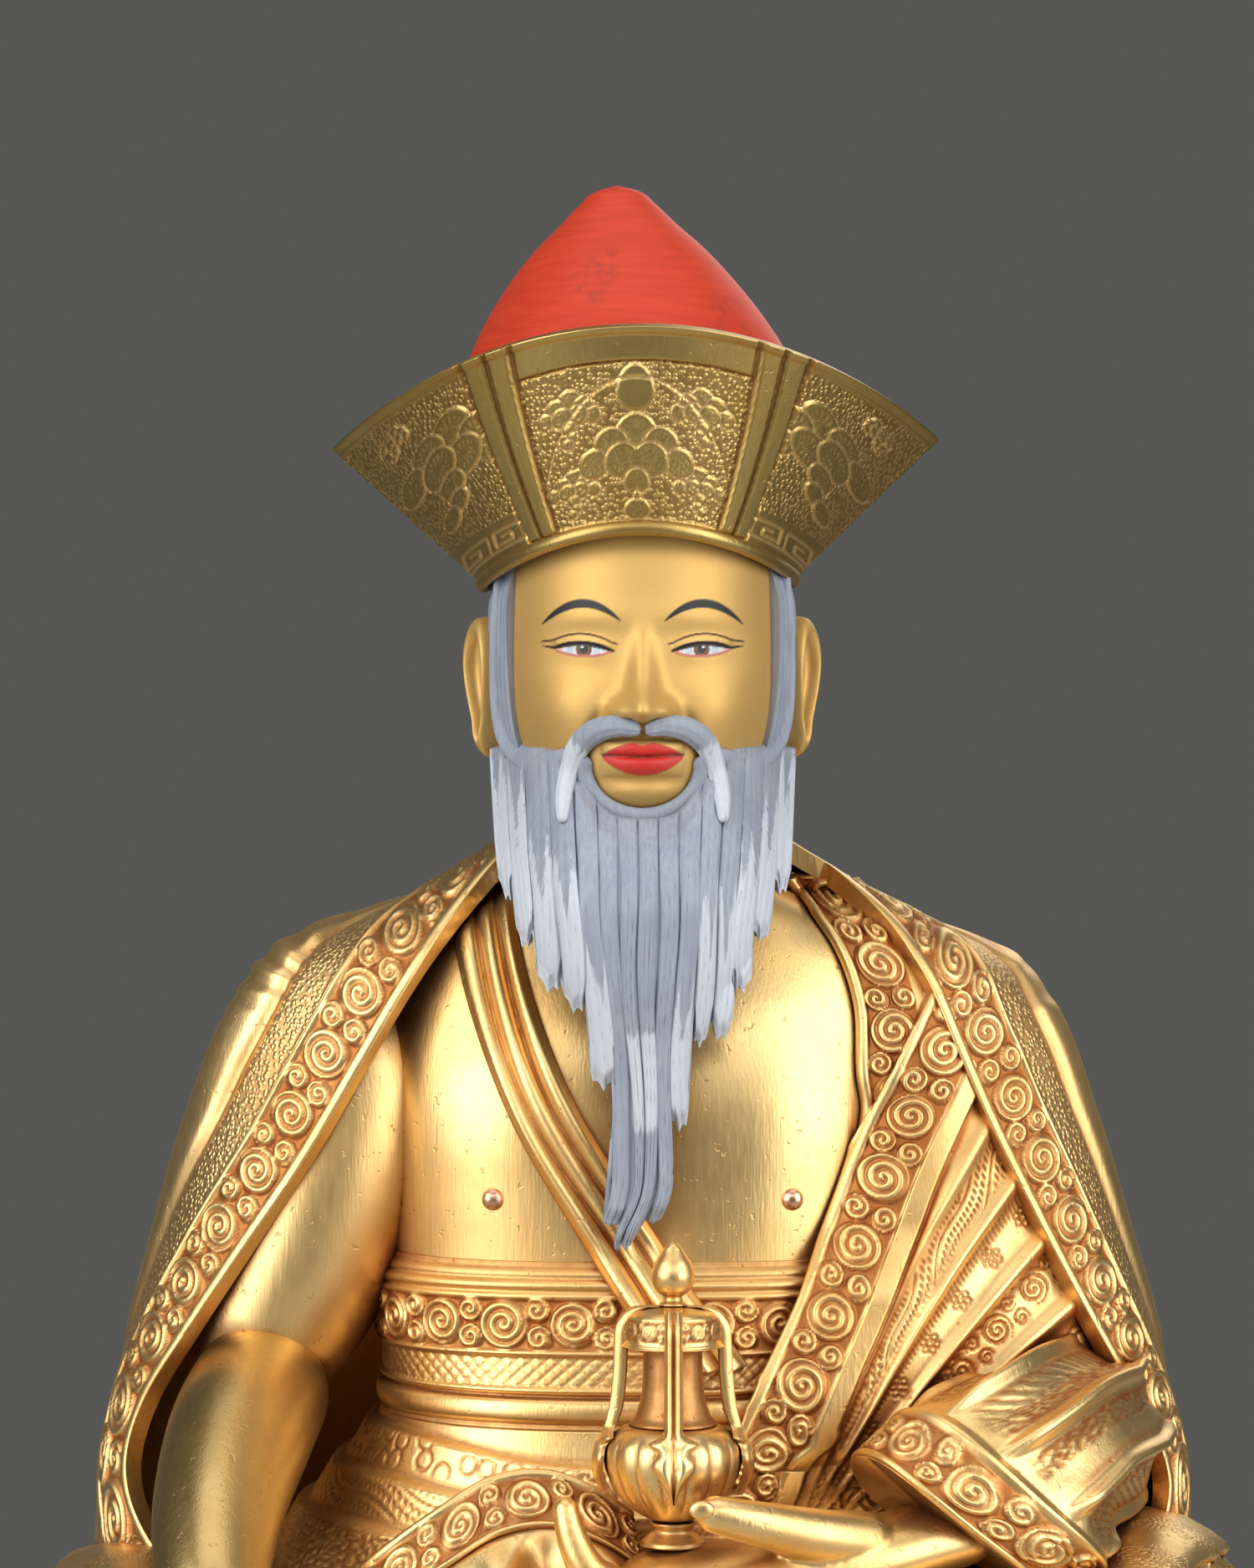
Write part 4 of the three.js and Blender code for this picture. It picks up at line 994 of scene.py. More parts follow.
def cloak_sheet(side, z, spread):
    """One side's outer points, inner points and shades. spread turns a row's stretch and length into runs."""
    slope, run = edge_frame(side, z)
    stretch = np.sqrt(1 + slope**2)
    _, total = cloak_point(side, z, np.zeros(1))
    span = spread(stretch, total[:, None])
    points, _ = cloak_point(side, z, span)
    t = span / stretch
    relief, shades = cloak_relief(side, t, run + t * slope, points[..., 0], z[:, None] + 0 * t)
    outward = side * normals(points)
    return points + outward * relief[..., None], points - outward * 2.4, shades


def cloak_far(stretch, total):
    """How far round from the front edge the front sheet ends and the back sheet starts."""
    return np.minimum(BORDER * stretch + 46, 0.6 * (BORDER * stretch + total))


def rosettes(x, y, spacing, size):
    """Punched flowers in a row along x at y = 0: distance to six small rings round a seventh."""
    x = x - np.round(x / spacing) * spacing
    distance = np.abs(np.hypot(x, y) - 0.38 * size)
    for k in range(6):
        cx, cy = size * math.cos(k * math.pi / 3), size * math.sin(k * math.pi / 3)
        distance = np.minimum(distance, np.abs(np.hypot(x - cx, y - cy) - 0.42 * size))
    return distance


def build_cloak():
    """Two scroll borders, two front sheets and one sheet across the back."""
    border = steps(0, BORDER, 0.32)[None]
    share = steps(0, 1, 0.5 / 46)[None]
    back_share = steps(0, 1, 1 / 84)[None]
    replaced = ["cloak"]

    def across_back(stretch, total):
        """Lengths along the outline, from the cloak's far line to the middle of the back."""
        return mix(cloak_far(stretch, total), total, back_share)

    for side, name in ((-1, "right"), (1, "left")):
        sheets = (
            ("border", 0.32, lambda stretch, total: border * stretch),
            ("front", 0.5, lambda stretch, total: mix(BORDER * stretch, cloak_far(stretch, total), share)),
        )
        for part, cell, spread in sheets:
            outer, inner, shades = cloak_sheet(side, steps(45, CLOAK_TOP, cell), spread)
            piece = slab(f"cloak_{part}_{name}", outer, inner, shades)
            dress(piece, "gilding", replaced)
            replaced = []
    halves = [cloak_sheet(side, steps(2, CLOAK_TOP, 1.1), across_back) for side in (-1, 1)]
    outer, inner = (np.concatenate([halves[0][i], halves[1][i][:, -2::-1]], axis=1) for i in (0, 1))
    middle = outer.shape[1] // 2
    for sheet in (outer, inner):
        sheet[:, middle, 0] = 0
        sheet[:, middle, 1] = (sheet[:, middle - 1, 1] + sheet[:, middle + 1, 1]) / 2
    piece = slab("cloak_back", outer, inner)
    dress(piece, "gilding")


def robe_panels(x, z, folded):
    """Height and cavity of the panels that fan up and outwards from the waist, parted by raised folds."""
    reach = np.hypot(x - 22, z - 44)
    angle = np.degrees(np.arctan2(x - 22, np.maximum(z - 44, 1))) + 2.0 * np.sin(reach / 24)
    arc = angle * reach / 57.3
    relief, dark = 0 * x, 0 * x
    for centre, half, tall in (
        (25.8, 1.1, 1.1), (32.4, 1.2, 1.5), (40.5, 1.3, 1.6), (50, 1.6, 1.9), (61, 2.0, 2.1), (74, 2.4, 2.1)
    ):
        relief = relief + tall * bell(angle, centre, half) * smooth(16, 34, reach)
        dark = (
            dark + 0.7 * bell(angle, centre + 1.7 * half, 0.7 * half)
            + 0.4 * bell(angle, centre - 1.7 * half, 0.5 * half)
        )
    zones = (
        (27.2, 31.2, leaves(reach, (arc - 29.2 * reach / 57.3) * 1.4, 5.0)),
        (33.6, 39.4, groove(rosettes(reach - 3, arc - 36.5 * reach / 57.3, 9.0, 1.25), 0.24)),
        (33.6, 35.2, groove(hatch(reach, arc, 1.1, 0.5), 0.24)),
        (41.8, 48.6, smooth(0.72, 0.95, scrolls(reach, arc - 41.8 * reach / 57.3, 6.5, 9.5, 81)[0])),
        (41.8, 43.4, groove(hatch(reach, arc, 1.2, -0.5), 0.24)),
        (52.0, 59.0, groove(np.hypot(np.abs(np.mod(reach, 9) - 4.5), arc - 55.5 * reach / 57.3) - 2.6, 0.3)),
        (52.0, 59.0, groove(np.hypot(np.abs(np.mod(reach, 9) - 4.5), arc - 55.5 * reach / 57.3) - 1.3, 0.3)),
        (63.2, 71.6, groove(hatch(reach, arc, 1.3, 0.6), 0.26)),
    )
    cuts = 0 * x
    for low, high, pattern in zones:
        cuts = np.maximum(cuts, pattern * window(angle, low - 0.3, low + 0.3, high - 0.3, high + 0.3))
    cuts = cuts * folded
    return folded * relief - 0.3 * cuts, folded * dark + 0.9 * cuts


# ---- Robe over the left shoulder ----

# The x of the robe's inner edge, and of its diagonal border's lower line, by height.
ROBE_EDGE = by_key(
    (50, 6), (60, 11), (67.6, 15.9), (74.7, 18.8), (84, 24), (91, 27.6), (100, 31.2), (113, 36.3),
    (123, 38.6), (129, 37.8), (141.6, 37.3), (151.6, 33.8), (158, 29), (164, 25),
)
DIAGONAL = by_key(
    (50, 6), (60, 10.8), (65.3, 13.2), (69.6, 16.1), (84, 23.3), (101.4, 31.2), (117.3, 37.7),
    (140.4, 48.6), (150, 53),
)


def robe_relief(x, z):
    """Height and cavity of the robe's front: the diagonal border, its panels and the upright border."""
    (diagonal,) = DIAGONAL(z)
    slope = np.gradient(diagonal[:, 0], z[:, 0])[:, None]
    stretch = np.sqrt(1 + slope**2)
    t = (x - diagonal) / stretch
    run = np.concatenate([[0], np.cumsum(stretch[1:, 0] * np.diff(z[:, 0]))])[:, None]
    on = smooth(-0.3, 0.1, t)
    width = 9.0
    inside = window(t, 1.6, 2.0, 1.6 + width, 2 + width)
    height, cavity = scrolls(run + t * slope, np.clip(t - 1.8, 0, width), width, 12.2, 21)
    plain = window(t, 11, 11.4, 14.4, 15)
    relief = on * (0.9 * ridge(t, 0.8, 1.1) + inside * height + plain * 0.5 + 1.2 * smooth(15.2, 14.4, t))
    dark = on * inside * cavity + 0.8 * bell(t, 15.4, 0.6)
    folds, shade = robe_panels(x, z, smooth(14.8, 15.6, t))
    (edge,) = ROBE_EDGE(z)
    u = x - edge
    under = smooth(0.3, -0.3, t)
    up_inside = window(u, 1.6, 2.0, 10.2, 10.6)
    height, cavity = scrolls(z * 1.02, np.clip(u - 1.8, 0, 8.6), 8.6, 11.6, 31)
    relief = relief + folds + under * (1.2 * ridge(u, 0.8, 1.1) + up_inside * height)
    return relief, np.clip(dark + shade + under * up_inside * cavity, 0, 1)


def build_robe():
    """The robe's front: a sheet from its inner edge out to the cloak, bulging between the two."""
    share, z = grid(steps(0, 1, 0.29 / 62), steps(47, 163, 0.3))
    half, front, _ = CLOAK(z[:, 0])
    (edge,) = ROBE_EDGE(z[:, 0])
    outer_x = EDGE_X[1](z[:, 0])[0] + 4.0
    x = mix(edge[:, None], np.maximum(outer_x, edge + 8)[:, None], share)
    under = front_at(x, half[:, None] - 2.6, front[:, None] - 2.6, CLOAK_POWER)
    off = mix(4.6, 0.5, smooth(BAND_TOP - 2, BAND_TOP + 12, z))
    over = torso_front(x, z) - off - muscle(x, z) * smooth(8, 0, x - edge[:, None])
    bulge = mix(6.5, 2.5, smooth(100, 150, z))
    y = mix(over[:, :1], under[:, -1:], share) - bulge * np.sin(np.pi * share) ** 0.8
    y = np.where(x - edge[:, None] < 12, np.minimum(y, over), y)
    relief, dark = robe_relief(x, z)
    points = stack(x, y, z)
    piece = slab("robe_front", raised(points, relief), raised(points, 0 * relief - 2.2), {"cavity": dark})
    dress(piece, "gilding", ["inner_robe"])


def build_sleeve():
    """The left sleeve: a bent tube whose folds fan out from the wrist, ending in a scroll-edged cuff."""
    arm = [
        (46, 4, 140, 9), (54, 6, 112, 10), (64, 7, 92, 10), (74, 2, 76, 11.5), (77, -10, 67.5, 14),
        (74.5, -24, 66, 15.2), (67, -37, 65, 15.4), (57.5, -47, 61, 14), (47.5, -53, 56.5, 11.6)
    ]
    columns, rows = 260, 250
    points = limb_points(arm, columns, rows, blunt=0.93)
    turn = np.linspace(0, 2 * np.pi, columns, endpoint=False)[None]
    run = np.linalg.norm(np.diff(points.mean(1), axis=0), axis=1)
    run = np.concatenate([[0], np.cumsum(run)])[:, None]
    t = run[-1] - run + 0 * turn
    low = points.mean(1)[:, None, 2] - points[..., 2]
    points[..., 0] += 0.95 * low * smooth(34, 6, t) + 0.03 * low**2 * smooth(34, 6, t)
    bend = turn * 8 + 0.03 * t + 0.5 * np.sin(t / 14)
    fold = np.sin(bend)
    crest = 1.2 * bell(1 - fold, 0, 0.15) + 0.5 * fold
    folds = (1.6 + 0.4 * np.sin(turn * 2)) * crest * window(t, 11.5, 20, 44, 74)
    s = turn * 13.6
    inside = window(t, 1.7, 2.1, 10.5, 10.9)
    height, cavity = scrolls(s, np.clip(t - 1.9, 0, 8.8), 8.8, 13.6 * 2 * np.pi / 7, 41)
    panel = np.floor(bend / (2 * np.pi) + 0.25)
    first = groove(hatch(turn * 15, t, 1.6, 0.7), 0.3) * (chance(panel, 2) > 0.35)
    second = groove(pebbles(turn * 15, t, 1.5, 7) * 1.5 - 0.5, 0.3) * (chance(panel, 3) > 0.4)
    suns = (
        groove(np.mod(np.hypot(np.mod(turn * 15, 9) - 4.5, np.mod(t, 11) - 5.5), 1.5) - 0.75, 0.3)
        * (chance(panel, 4) > 0.6)
    )
    grain = (
        np.maximum(np.maximum(first, second), suns) * smooth(14, 17, t) * smooth(0.55, 0.3, fold)
        * smooth(66, 56, t)
    )
    relief = (
        folds + inside * height * 0.9 + ridge(t, 1.0, 0.9) * 0.9 + ridge(t, 11.5, 0.7) * 0.6
        + 0.8 * smooth(13, 12, t) - 0.25 * grain
    )
    beside = bell(fold, 0.35, 0.3) * window(t, 14, 22, 50, 74)
    dark = np.clip(inside * cavity + 0.8 * beside + grain, 0, 1)
    piece = tube("sleeve", raised(points, relief, wrap=True), {"cavity": dark})
    dress(piece, "gilding", ["left_sleeve"])


# Rows of the share along the hem, and x, y and z of its upper edge.
HEM_LINE = by_key(
    (0, -50, -52, 46), (0.18, -43, -56, 52.5), (0.36, -34, -56, 59), (0.54, -25.5, -53, 63.6),
    (0.72, -16.5, -52, 64.6), (0.88, -8.5, -53, 62), (1, -2, -54, 58)
)


def build_lap():
    """The crossed legs under the robe: a broad mound with a dip between the knees and long sweeping pleats,
    over a scroll border round its foot."""
    section = by_key(
        (0.5, 112, 84, 38), (12, 116, 88, 40), (26, 114, 86, 40), (36, 102, 76, 37), (41, 88, 68, 34),
        (42, 60, 50, 26)
    )

    def skin(turn, z):
        """The lap's outline at a height with its raised knees, and the dip between them in front."""
        x, y = outline(turn, *section(z), 2.6)
        dip = -5.0 * bell(turn, 0, 0.42) * bell(z, 22, 16)
        knee = mix(7, 13, smooth(-40, 40, x)) * bell(np.abs(x), 88, 20) * bell(y, -25, 34) * smooth(18, 40, z)
        return stack(x, y, z + knee), dip * smooth(1.5, 0.9, np.abs(turn))

    turn, z = grid(
        np.linspace(-np.pi, np.pi, 480, endpoint=False),
        np.concatenate([np.linspace(0.8, 41, 64), np.linspace(41.2, 42, 6)])
    )
    points, dip = skin(turn, z)
    sweep = 10 * turn + 0.045 * (z - 12) * np.sign(turn) * smooth(0, 0.5, np.abs(turn))
    crest = 0.5 + 0.5 * np.cos(2 * np.pi * (sweep + 0.12 * np.sin(3 * turn)) / 1.9)
    pleats = 1.5 * crest**2 * window(z, 10, 16, 34, 42) * smooth(2.1, 1.5, np.abs(turn))
    woven = 0.6 * smooth(26, 32, z) * smooth(0.3, 0.7, crest)
    piece = tube("lap_robe", raised(points, dip + pleats, wrap=True), {"ground": woven})
    dress(piece, "gilding", ["lap"])
    turn, z = grid(np.linspace(-np.pi, np.pi, 840, endpoint=False), np.linspace(0.5, 12.0, 21))
    points, dip = skin(turn, z)
    inside = window(z, 1.6, 2.0, 10.2, 10.6)
    height, cavity = scrolls(turn * 100, np.clip(z - 1.8, 0, 8.6), 8.6, 4 * np.pi, 51)
    border = 1.0 + ridge(z, 1.1, 0.9) * 0.8 + ridge(z, 11, 0.8) * 0.6 + inside * height * 0.9
    outer = raised(points, dip + border, wrap=True)
    under = raised(points, dip - 1.0 + 0 * z, wrap=True)[::-20]
    cavity = np.concatenate([inside * cavity, np.zeros((2, 840))])
    piece = ring("lap_border", np.concatenate([outer, under]), {"cavity": np.clip(cavity, 0, 1)})
    dress(piece, "gilding")


def build_hem():
    """The robe's turned-up hem: a scroll-edged strip in a long wave, and the fold that hangs from it."""
    u, v = grid(steps(0, 1, 0.3 / 62), steps(0, 1, 0.3 / 12))
    x, y, z = HEM_LINE(u[0])
    run = np.concatenate([[0], np.cumsum(np.sqrt(np.diff(x) ** 2 + np.diff(y) ** 2 + np.diff(z) ** 2))])[None]
    points = stack(x[None] + 2.0 * v, y[None] - 7.5 * np.sin(v * 1.3), z[None] - 8.6 * v)
    s, t = run + 0 * v, 12.0 * v
    inside = window(t, 1.4, 1.8, 10.0, 10.4)
    height, cavity = scrolls(s, np.clip(t - 1.6, 0, 8.6), 8.6, 12.4, 61)
    relief = ridge(t, 0.8, 0.9) * 0.9 + inside * height * 0.9 + ridge(t, 11.2, 0.8) * 1.0
    outward = normals(points)
    outward = outward * np.sign(-outward[..., 1:2])
    outer, inner = points + outward * relief[..., None], points - outward * 1.6
    piece = slab("hem", outer, inner, {"cavity": inside * cavity})
    dress(piece, "gilding", ["robe_hem"])
    u, v = grid(steps(0, 1, 0.6 / 62), steps(0, 1, 0.6 / 24))
    x, y, z = HEM_LINE(u[0])
    low = LAP_TOP + 0.6
    top = z[None] - 8.4
    wave = 2.2 * np.sin(u * 14 + 1.0) * np.sin(np.pi * v) + 1.2 * np.sin(u * 27) * np.sin(np.pi * v) ** 2
    points = stack(x[None] + 2.0 + 3 * v, y[None] - 6.8 - 9 * v**0.8 - wave, mix(top, low, v))
    outward = normals(points)
    outward = outward * np.sign(-outward[..., 1:2])
    piece = slab("hem_fold", points, points - outward * 1.8)
    dress(piece, "gilding")


# ---- Head ----

HEAD_HALF, HEAD_FRONT, HEAD_BACK = 26.0, 37.0, 26.0
CHIN = 174.0
# Rows of height, half width, and depth to the front and to the back.
HEAD = by_key(
    (172.4, 18, 24, 14),
    (174, 19, 29.5, 14.5),
    (177, 20.5, 32.8, 15.6),
    (182, 22.6, 34.8, 18.2),
    (190, 25, 36.2, 22.1),
    (200, 26, 37, 24.4),
    (212, 26, 36.3, 26),
    (220, 25.2, 35.2, 25.6),
    (226, 23.4, 33.3, 23.9),
    (236, 19, 28.1, 20),
    (243, 11.7, 18.5, 12.2),
    (246, 3.9, 6.7, 3.9),
)
HEAD_POWER = 2.2
# The face is laid out by thirds of equal height: hairline to brow, brow to nose base, nose base to chin.
THIRD = 17.0
HAIRLINE = 224.0
BROW = HAIRLINE - THIRD
NOSE_BASE = BROW - THIRD
MOUTH = NOSE_BASE - THIRD / 3
EYE_LINE = BROW - 4.4
EYE_X = 10.2
EYE_HALF = 5.0


def face_relief(x, z):
    """How far the face's features stand out from the head's plain oval."""
    ax = np.abs(x)
    socket = -2.3 * mound(ax - EYE_X, 6.5, z - EYE_LINE - 0.4, 4.2)
    ball = 2.3 * mound(ax - EYE_X, 5.2, z - EYE_LINE, 3.0)
    brow = 0.9 * mound(ax - 10, 8, z - BROW - 1.2, 2.8)
    down = np.clip((BROW - 1.5 - z) / (BROW - NOSE_BASE - 3), 0, 1)
    bridge = mix(1.7, 3.1, down)
    nose = (
        mix(0.8, 6.4, down**1.25) * np.exp(-((ax / bridge) ** 2.2))
        * smooth(NOSE_BASE - 1.2, NOSE_BASE + 1.8, z)
    )
    nose = nose * smooth(BROW + 2, BROW - 3, z)
    ball_of_nose = 1.8 * mound(ax, 3.4, z - NOSE_BASE - 3.0, 2.6)
    wings = 2.9 * mound(ax - 4.1, 1.9, z - NOSE_BASE - 2.1, 2.0)
    nostrils = -1.6 * mound(ax - 2.6, 1.1, z - NOSE_BASE + 0.1, 0.8)
    cheeks = 1.9 * mound(ax - 14.5, 6.5, z - NOSE_BASE - 2.5, 6.0)
    crease = (
        -0.7 * bell(ax - (6.8 + 0.45 * (NOSE_BASE + 3 - z)), 0, 1.3)
        * window(z, MOUTH - 3, MOUTH + 1, NOSE_BASE, NOSE_BASE + 4)
    )
    muzzle = 2.2 * mound(ax, 9.5, z - MOUTH, 5.5)
    width = np.clip(1 - (ax / 7.2) ** 2, 0, 1)
    upper = 1.3 * width**0.6 * ridge(z, MOUTH + 1.35 + 0.25 * bell(ax, 2.2, 1.5), 1.5)
    lower = 1.6 * width**0.8 * ridge(z, MOUTH - 1.6, 1.8)
    line = -0.7 * width**0.3 * bell(z, MOUTH + 0.05 * ax, 0.35)
    philtrum = -0.35 * mound(ax, 1.0, z - MOUTH - 4, 1.5)
    chin = 1.6 * mound(ax, 6, z - CHIN - 4, 3) - 0.8 * mound(ax, 6, z - MOUTH + 4.2, 1.3)
    temple = -0.6 * mound(ax - 23, 5, z - BROW - 3, 7)
    lid = 0.45 * lid_mask(ax, z)
    eyes = socket + ball + brow + lid + temple
    middle = nose + ball_of_nose + wings + nostrils + cheeks + crease
    return eyes + middle + muzzle + upper + lower + line + philtrum + chin


def almond(ax):
    """How far across the eye a place is, from -1 to 1, and the heights of both lid lines there."""
    u = (ax - EYE_X) / EYE_HALF
    arch = np.clip(1 - u * u, 0, None)
    upper = EYE_LINE + 0.25 + 0.95 * arch + 0.35 * u
    lower = EYE_LINE + 0.1 - 1.05 * arch**0.9 + 0.25 * u
    return u, upper, lower


def lid_mask(ax, z):
    """The upper lid's fold, a soft roll just above the opening."""
    u, upper, _ = almond(ax)
    return ridge(z, upper + 0.9, 0.9) * smooth(1.15, 0.9, np.abs(u))


def face_paint(x, z, front):
    """The painted features as colour and cover: brows, eyes, lids, lips and nostrils."""
    ax = np.abs(x)
    paint = np.zeros(x.shape + (4,))

    def lay(mask, color):
        """Lays a colour over the paint where the mask is high."""
        share = np.clip(mask * front, 0, 1)[..., None]
        paint[..., :3] = paint[..., :3] * (1 - share) + np.array(color) * share
        paint[..., 3:] = np.maximum(paint[..., 3:], share)

    soft = 0.12
    u, upper, lower = almond(ax)
    opening = smooth(-soft, soft, upper - z) * smooth(-soft, soft, z - lower) * smooth(1.0, 0.96, np.abs(u))
    lay(opening, (0.74, 0.73, 0.71))
    lay(opening * smooth(0.55, 1.0, np.abs(u)), (0.70, 0.42, 0.36))
    lay(opening * smooth(0.5, 0.3, np.abs(np.abs(u) - 0.45) * 3.2) * 0.7, (0.40, 0.52, 0.64))
    iris = np.hypot((ax - EYE_X + 0.1) / 1.4, (z - EYE_LINE - 0.25) / 1.4)
    lay(opening * smooth(1.05, 0.95, iris), (0.045, 0.018, 0.006))
    lay(opening * window(iris, 0.45, 0.6, 0.75, 0.9), (0.16, 0.075, 0.02))
    lay(opening * smooth(0.52, 0.44, iris), (0.004, 0.004, 0.004))
    glint = np.hypot((ax - EYE_X - 0.25) / 0.28, (z - EYE_LINE - 0.7) / 0.28)
    lay(opening * smooth(1.1, 0.8, glint), (0.8, 0.8, 0.8))
    inner, outer = -1.05, 1.42
    in_span = window(u, inner - 0.04, inner + 0.02, outer - 0.02, outer + 0.06)
    tail = np.where(u > 1, EYE_LINE + 0.6 + 0.9 * (u - 1), upper)
    thick = 0.34 * smooth(outer + 0.1, 0.5, u) * smooth(-1.4, -0.5, u) + 0.08
    lay(in_span * smooth(thick + soft, thick - soft * 0.3, np.abs(z - tail)), (0.012, 0.008, 0.006))
    lay(smooth(0.3, 0.12, np.abs(z - lower)) * smooth(1.0, 0.9, np.abs(u)), (0.62, 0.16, 0.13))
    fold = upper + 1.7 - 0.35 * u * u
    lay(smooth(0.26, 0.12, np.abs(z - fold)) * smooth(1.4, 1.25, np.abs(u - 0.15)), (0.10, 0.03, 0.015))
    v = (ax - 10.6) / 7.0
    arc = BROW + 3.7 - 3.4 * (v - 0.05) ** 2 - 0.5 * v
    heft = 0.75 * np.clip(1 - np.abs(v) ** 2.6, 0, 1) ** 0.7
    lay(
        smooth(heft + soft, heft - soft, np.abs(z - arc)) * smooth(1.0, 0.97, np.abs(v)),
        (0.008, 0.009, 0.010)
    )
    reach = np.clip(1 - (ax / 7.0) ** 2, 0, 1)
    top = MOUTH + (2.5 - 0.55 * bell(ax, 0, 1.1) + 0.1 * bell(ax, 2.2, 1.2)) * reach**0.75
    foot = MOUTH - 3.2 * reach**0.8
    lay(smooth(-soft, soft, top - z) * smooth(-soft, soft, z - foot) * (ax < 7.0), (0.62, 0.028, 0.018))
    lay(smooth(0.28, 0.12, np.abs(z - MOUTH - 0.05 * ax)) * smooth(7.3, 7.0, ax), (0.16, 0.012, 0.010))
    hole = np.hypot((ax - 2.7) / 1.3, (z - NOSE_BASE - 0.2) / 0.7)
    lay(smooth(1.1, 0.8, hole), (0.03, 0.015, 0.008))
    return paint


def build_head():
    """The head: rounded outlines by height, with the face raised in front. Columns and rows are
    closer together over the features."""
    even = np.linspace(-1, 1, 440, endpoint=False)
    turn = np.pi * np.sign(even) * np.abs(even) ** 1.9
    spans = ((172.6, 180, 14), (180, 191, 44), (191, 199, 20), (199, 212, 66), (212, 245.8, 30))
    heights = np.concatenate(
        [np.linspace(low, high, count, endpoint=high > 245) for low, high, count in spans]
    )
    turn, z = grid(turn, heights)
    x, y = outline(turn, *HEAD(z), HEAD_POWER)
    front = smooth(1.5, 1.1, np.abs(turn))
    points = stack(x, y, z)
    points[..., 1] -= face_relief(x, z) * front
    paint = face_paint(x, z, smooth(1.25, 1.15, np.abs(turn)))
    piece = tube("face", points, {"paint": paint})
    dress(piece, "skin", ["head", "neck_rivet_right", "neck_rivet_left"])


def build_ears():
    """Long-lobed ears: a rolled rim round a hollow, closing to a narrow lobe."""
    for side, name in ((-1, "right"), (1, "left")):
        reach, turn = grid(np.linspace(0.0, 1, 48), np.linspace(0, 2 * np.pi, 120, endpoint=False))
        reach, turn = reach.T, turn.T
        up = np.cos(turn)
        half = mix(2.4, 5.4, smooth(-0.9, 0.6, up))
        across = np.sin(turn) * half * reach
        height = CHIN + 23.0 + up * 12.8 * reach
        ends = np.sqrt(np.clip(1 - np.abs(up * reach) ** 3.2, 0, 1))
        roll = ridge(reach, 0.84, 0.17)
        hollow = smooth(0.66, 0.3, reach) * smooth(-0.75, -0.2, up * reach)
        out = (
            (1.6 + 2.2 * roll) * mix(0.45, 1, ends) - 1.9 * hollow
            + 0.8 * smooth(-0.4, -0.8, up * reach) * ends
        )
        out = out - 2.4 * smooth(0.97, 1, reach)
        lean = 0.9 * up * reach
        x = side * (HEAD_HALF - 0.4 + out * 0.9 + 0.42 * (across + 2.6) + lean)
        y = -3 + across * 0.95 - out * 0.55
        points = stack(x, y, height)
        middle = CHIN + 23.0
        back = stack(
            side * (HEAD_HALF - 2.6) + 0 * x[-1:], y[-1:] * 0.9 - 0.4, middle + (height[-1:] - middle) * 0.9
        )
        cover = (
            groove(reach - 0.52 - 0.05 * np.cos(turn * 2), 0.07) * smooth(-0.1, 0.4, -np.sin(turn))
            * smooth(0.9, 0.5, np.abs(up))
        )
        paint = np.zeros(points.shape[:2] + (4,))
        paint[..., :3] = (0.06, 0.015, 0.008)
        paint[..., 3] = 0.8 * cover
        grown = np.concatenate([points, back])
        paint = np.concatenate([paint, np.zeros((1,) + paint.shape[1:])])
        piece = tube(f"ear_{name}", grown, {"paint": paint})
        dress(piece, "skin")


HAIR_STRANDS = 95  # furrows over one radian of the head


def build_hair():
    """Combed hair from the temples round the back of the head, and a close cap of it under the hat."""
    turn, z = grid(steps(1.02, 2 * np.pi - 1.02, 0.016), steps(180, 226, 0.6))
    sections = HEAD(z)
    furrow = 0.22 * np.sin(turn * HAIR_STRANDS + 1.5 * np.sin(z / 9)) * mix(1, 0.4, smooth(210, 218, z))
    lift = mix(1.3, 0.25, smooth(211, 219, z)) + furrow
    x, y = outline(turn, *(size + lift for size in sections), HEAD_POWER)
    xi, yi = outline(turn, *(size - 0.8 for size in sections), HEAD_POWER)
    piece = slab("hair", stack(x, y, z), stack(xi, yi, z), {"cavity": 0.6 * smooth(0.0, -0.22, furrow)})
    dress(piece, "hair")
    turn, z = grid(np.linspace(0, 2 * np.pi, 300, endpoint=False), np.linspace(225.6, 246, 30))
    furrow = 0.09 * np.sin(turn * HAIR_STRANDS + 1.5 * np.sin(z / 9)) * smooth(245, 232, z)
    x, y = outline(turn, *(size + 0.3 + furrow for size in HEAD(z)), HEAD_POWER)
    piece = tube(
        "hair_cap", stack(x, y, z + 0.3 * smooth(230, 246, z)), {"cavity": 0.4 * smooth(0.0, -0.09, furrow)}
    )
    dress(piece, "hair")


# ---- Beard ----

# Rows of height, half width, and y in the middle and at the sides.
BEARD = by_key(
    (100.5, 2.2, -41, -40.4),
    (107.7, 4.3, -41, -40.2),
    (120.6, 6, -41, -40),
    (135, 9.7, -42, -40),
    (143.5, 13, -43.5, -40),
    (149, 17.6, -44, -38),
    (155, 21.9, -44.3, -34),
    (160, 24, -44.5, -30),
    (170, 25.2, -44.3, -22),
    (178, 25.6, -42.5, -13),
    (188, 27.4, -38.6, -7),
)


def beard_y(across, z):
    """The beard's front surface: its middle and side depths joined by a rounded curve."""
    half, middle, side = BEARD(z)
    return mix(middle, side, np.clip(np.abs(across) / half, 0, 1) ** 2.6)


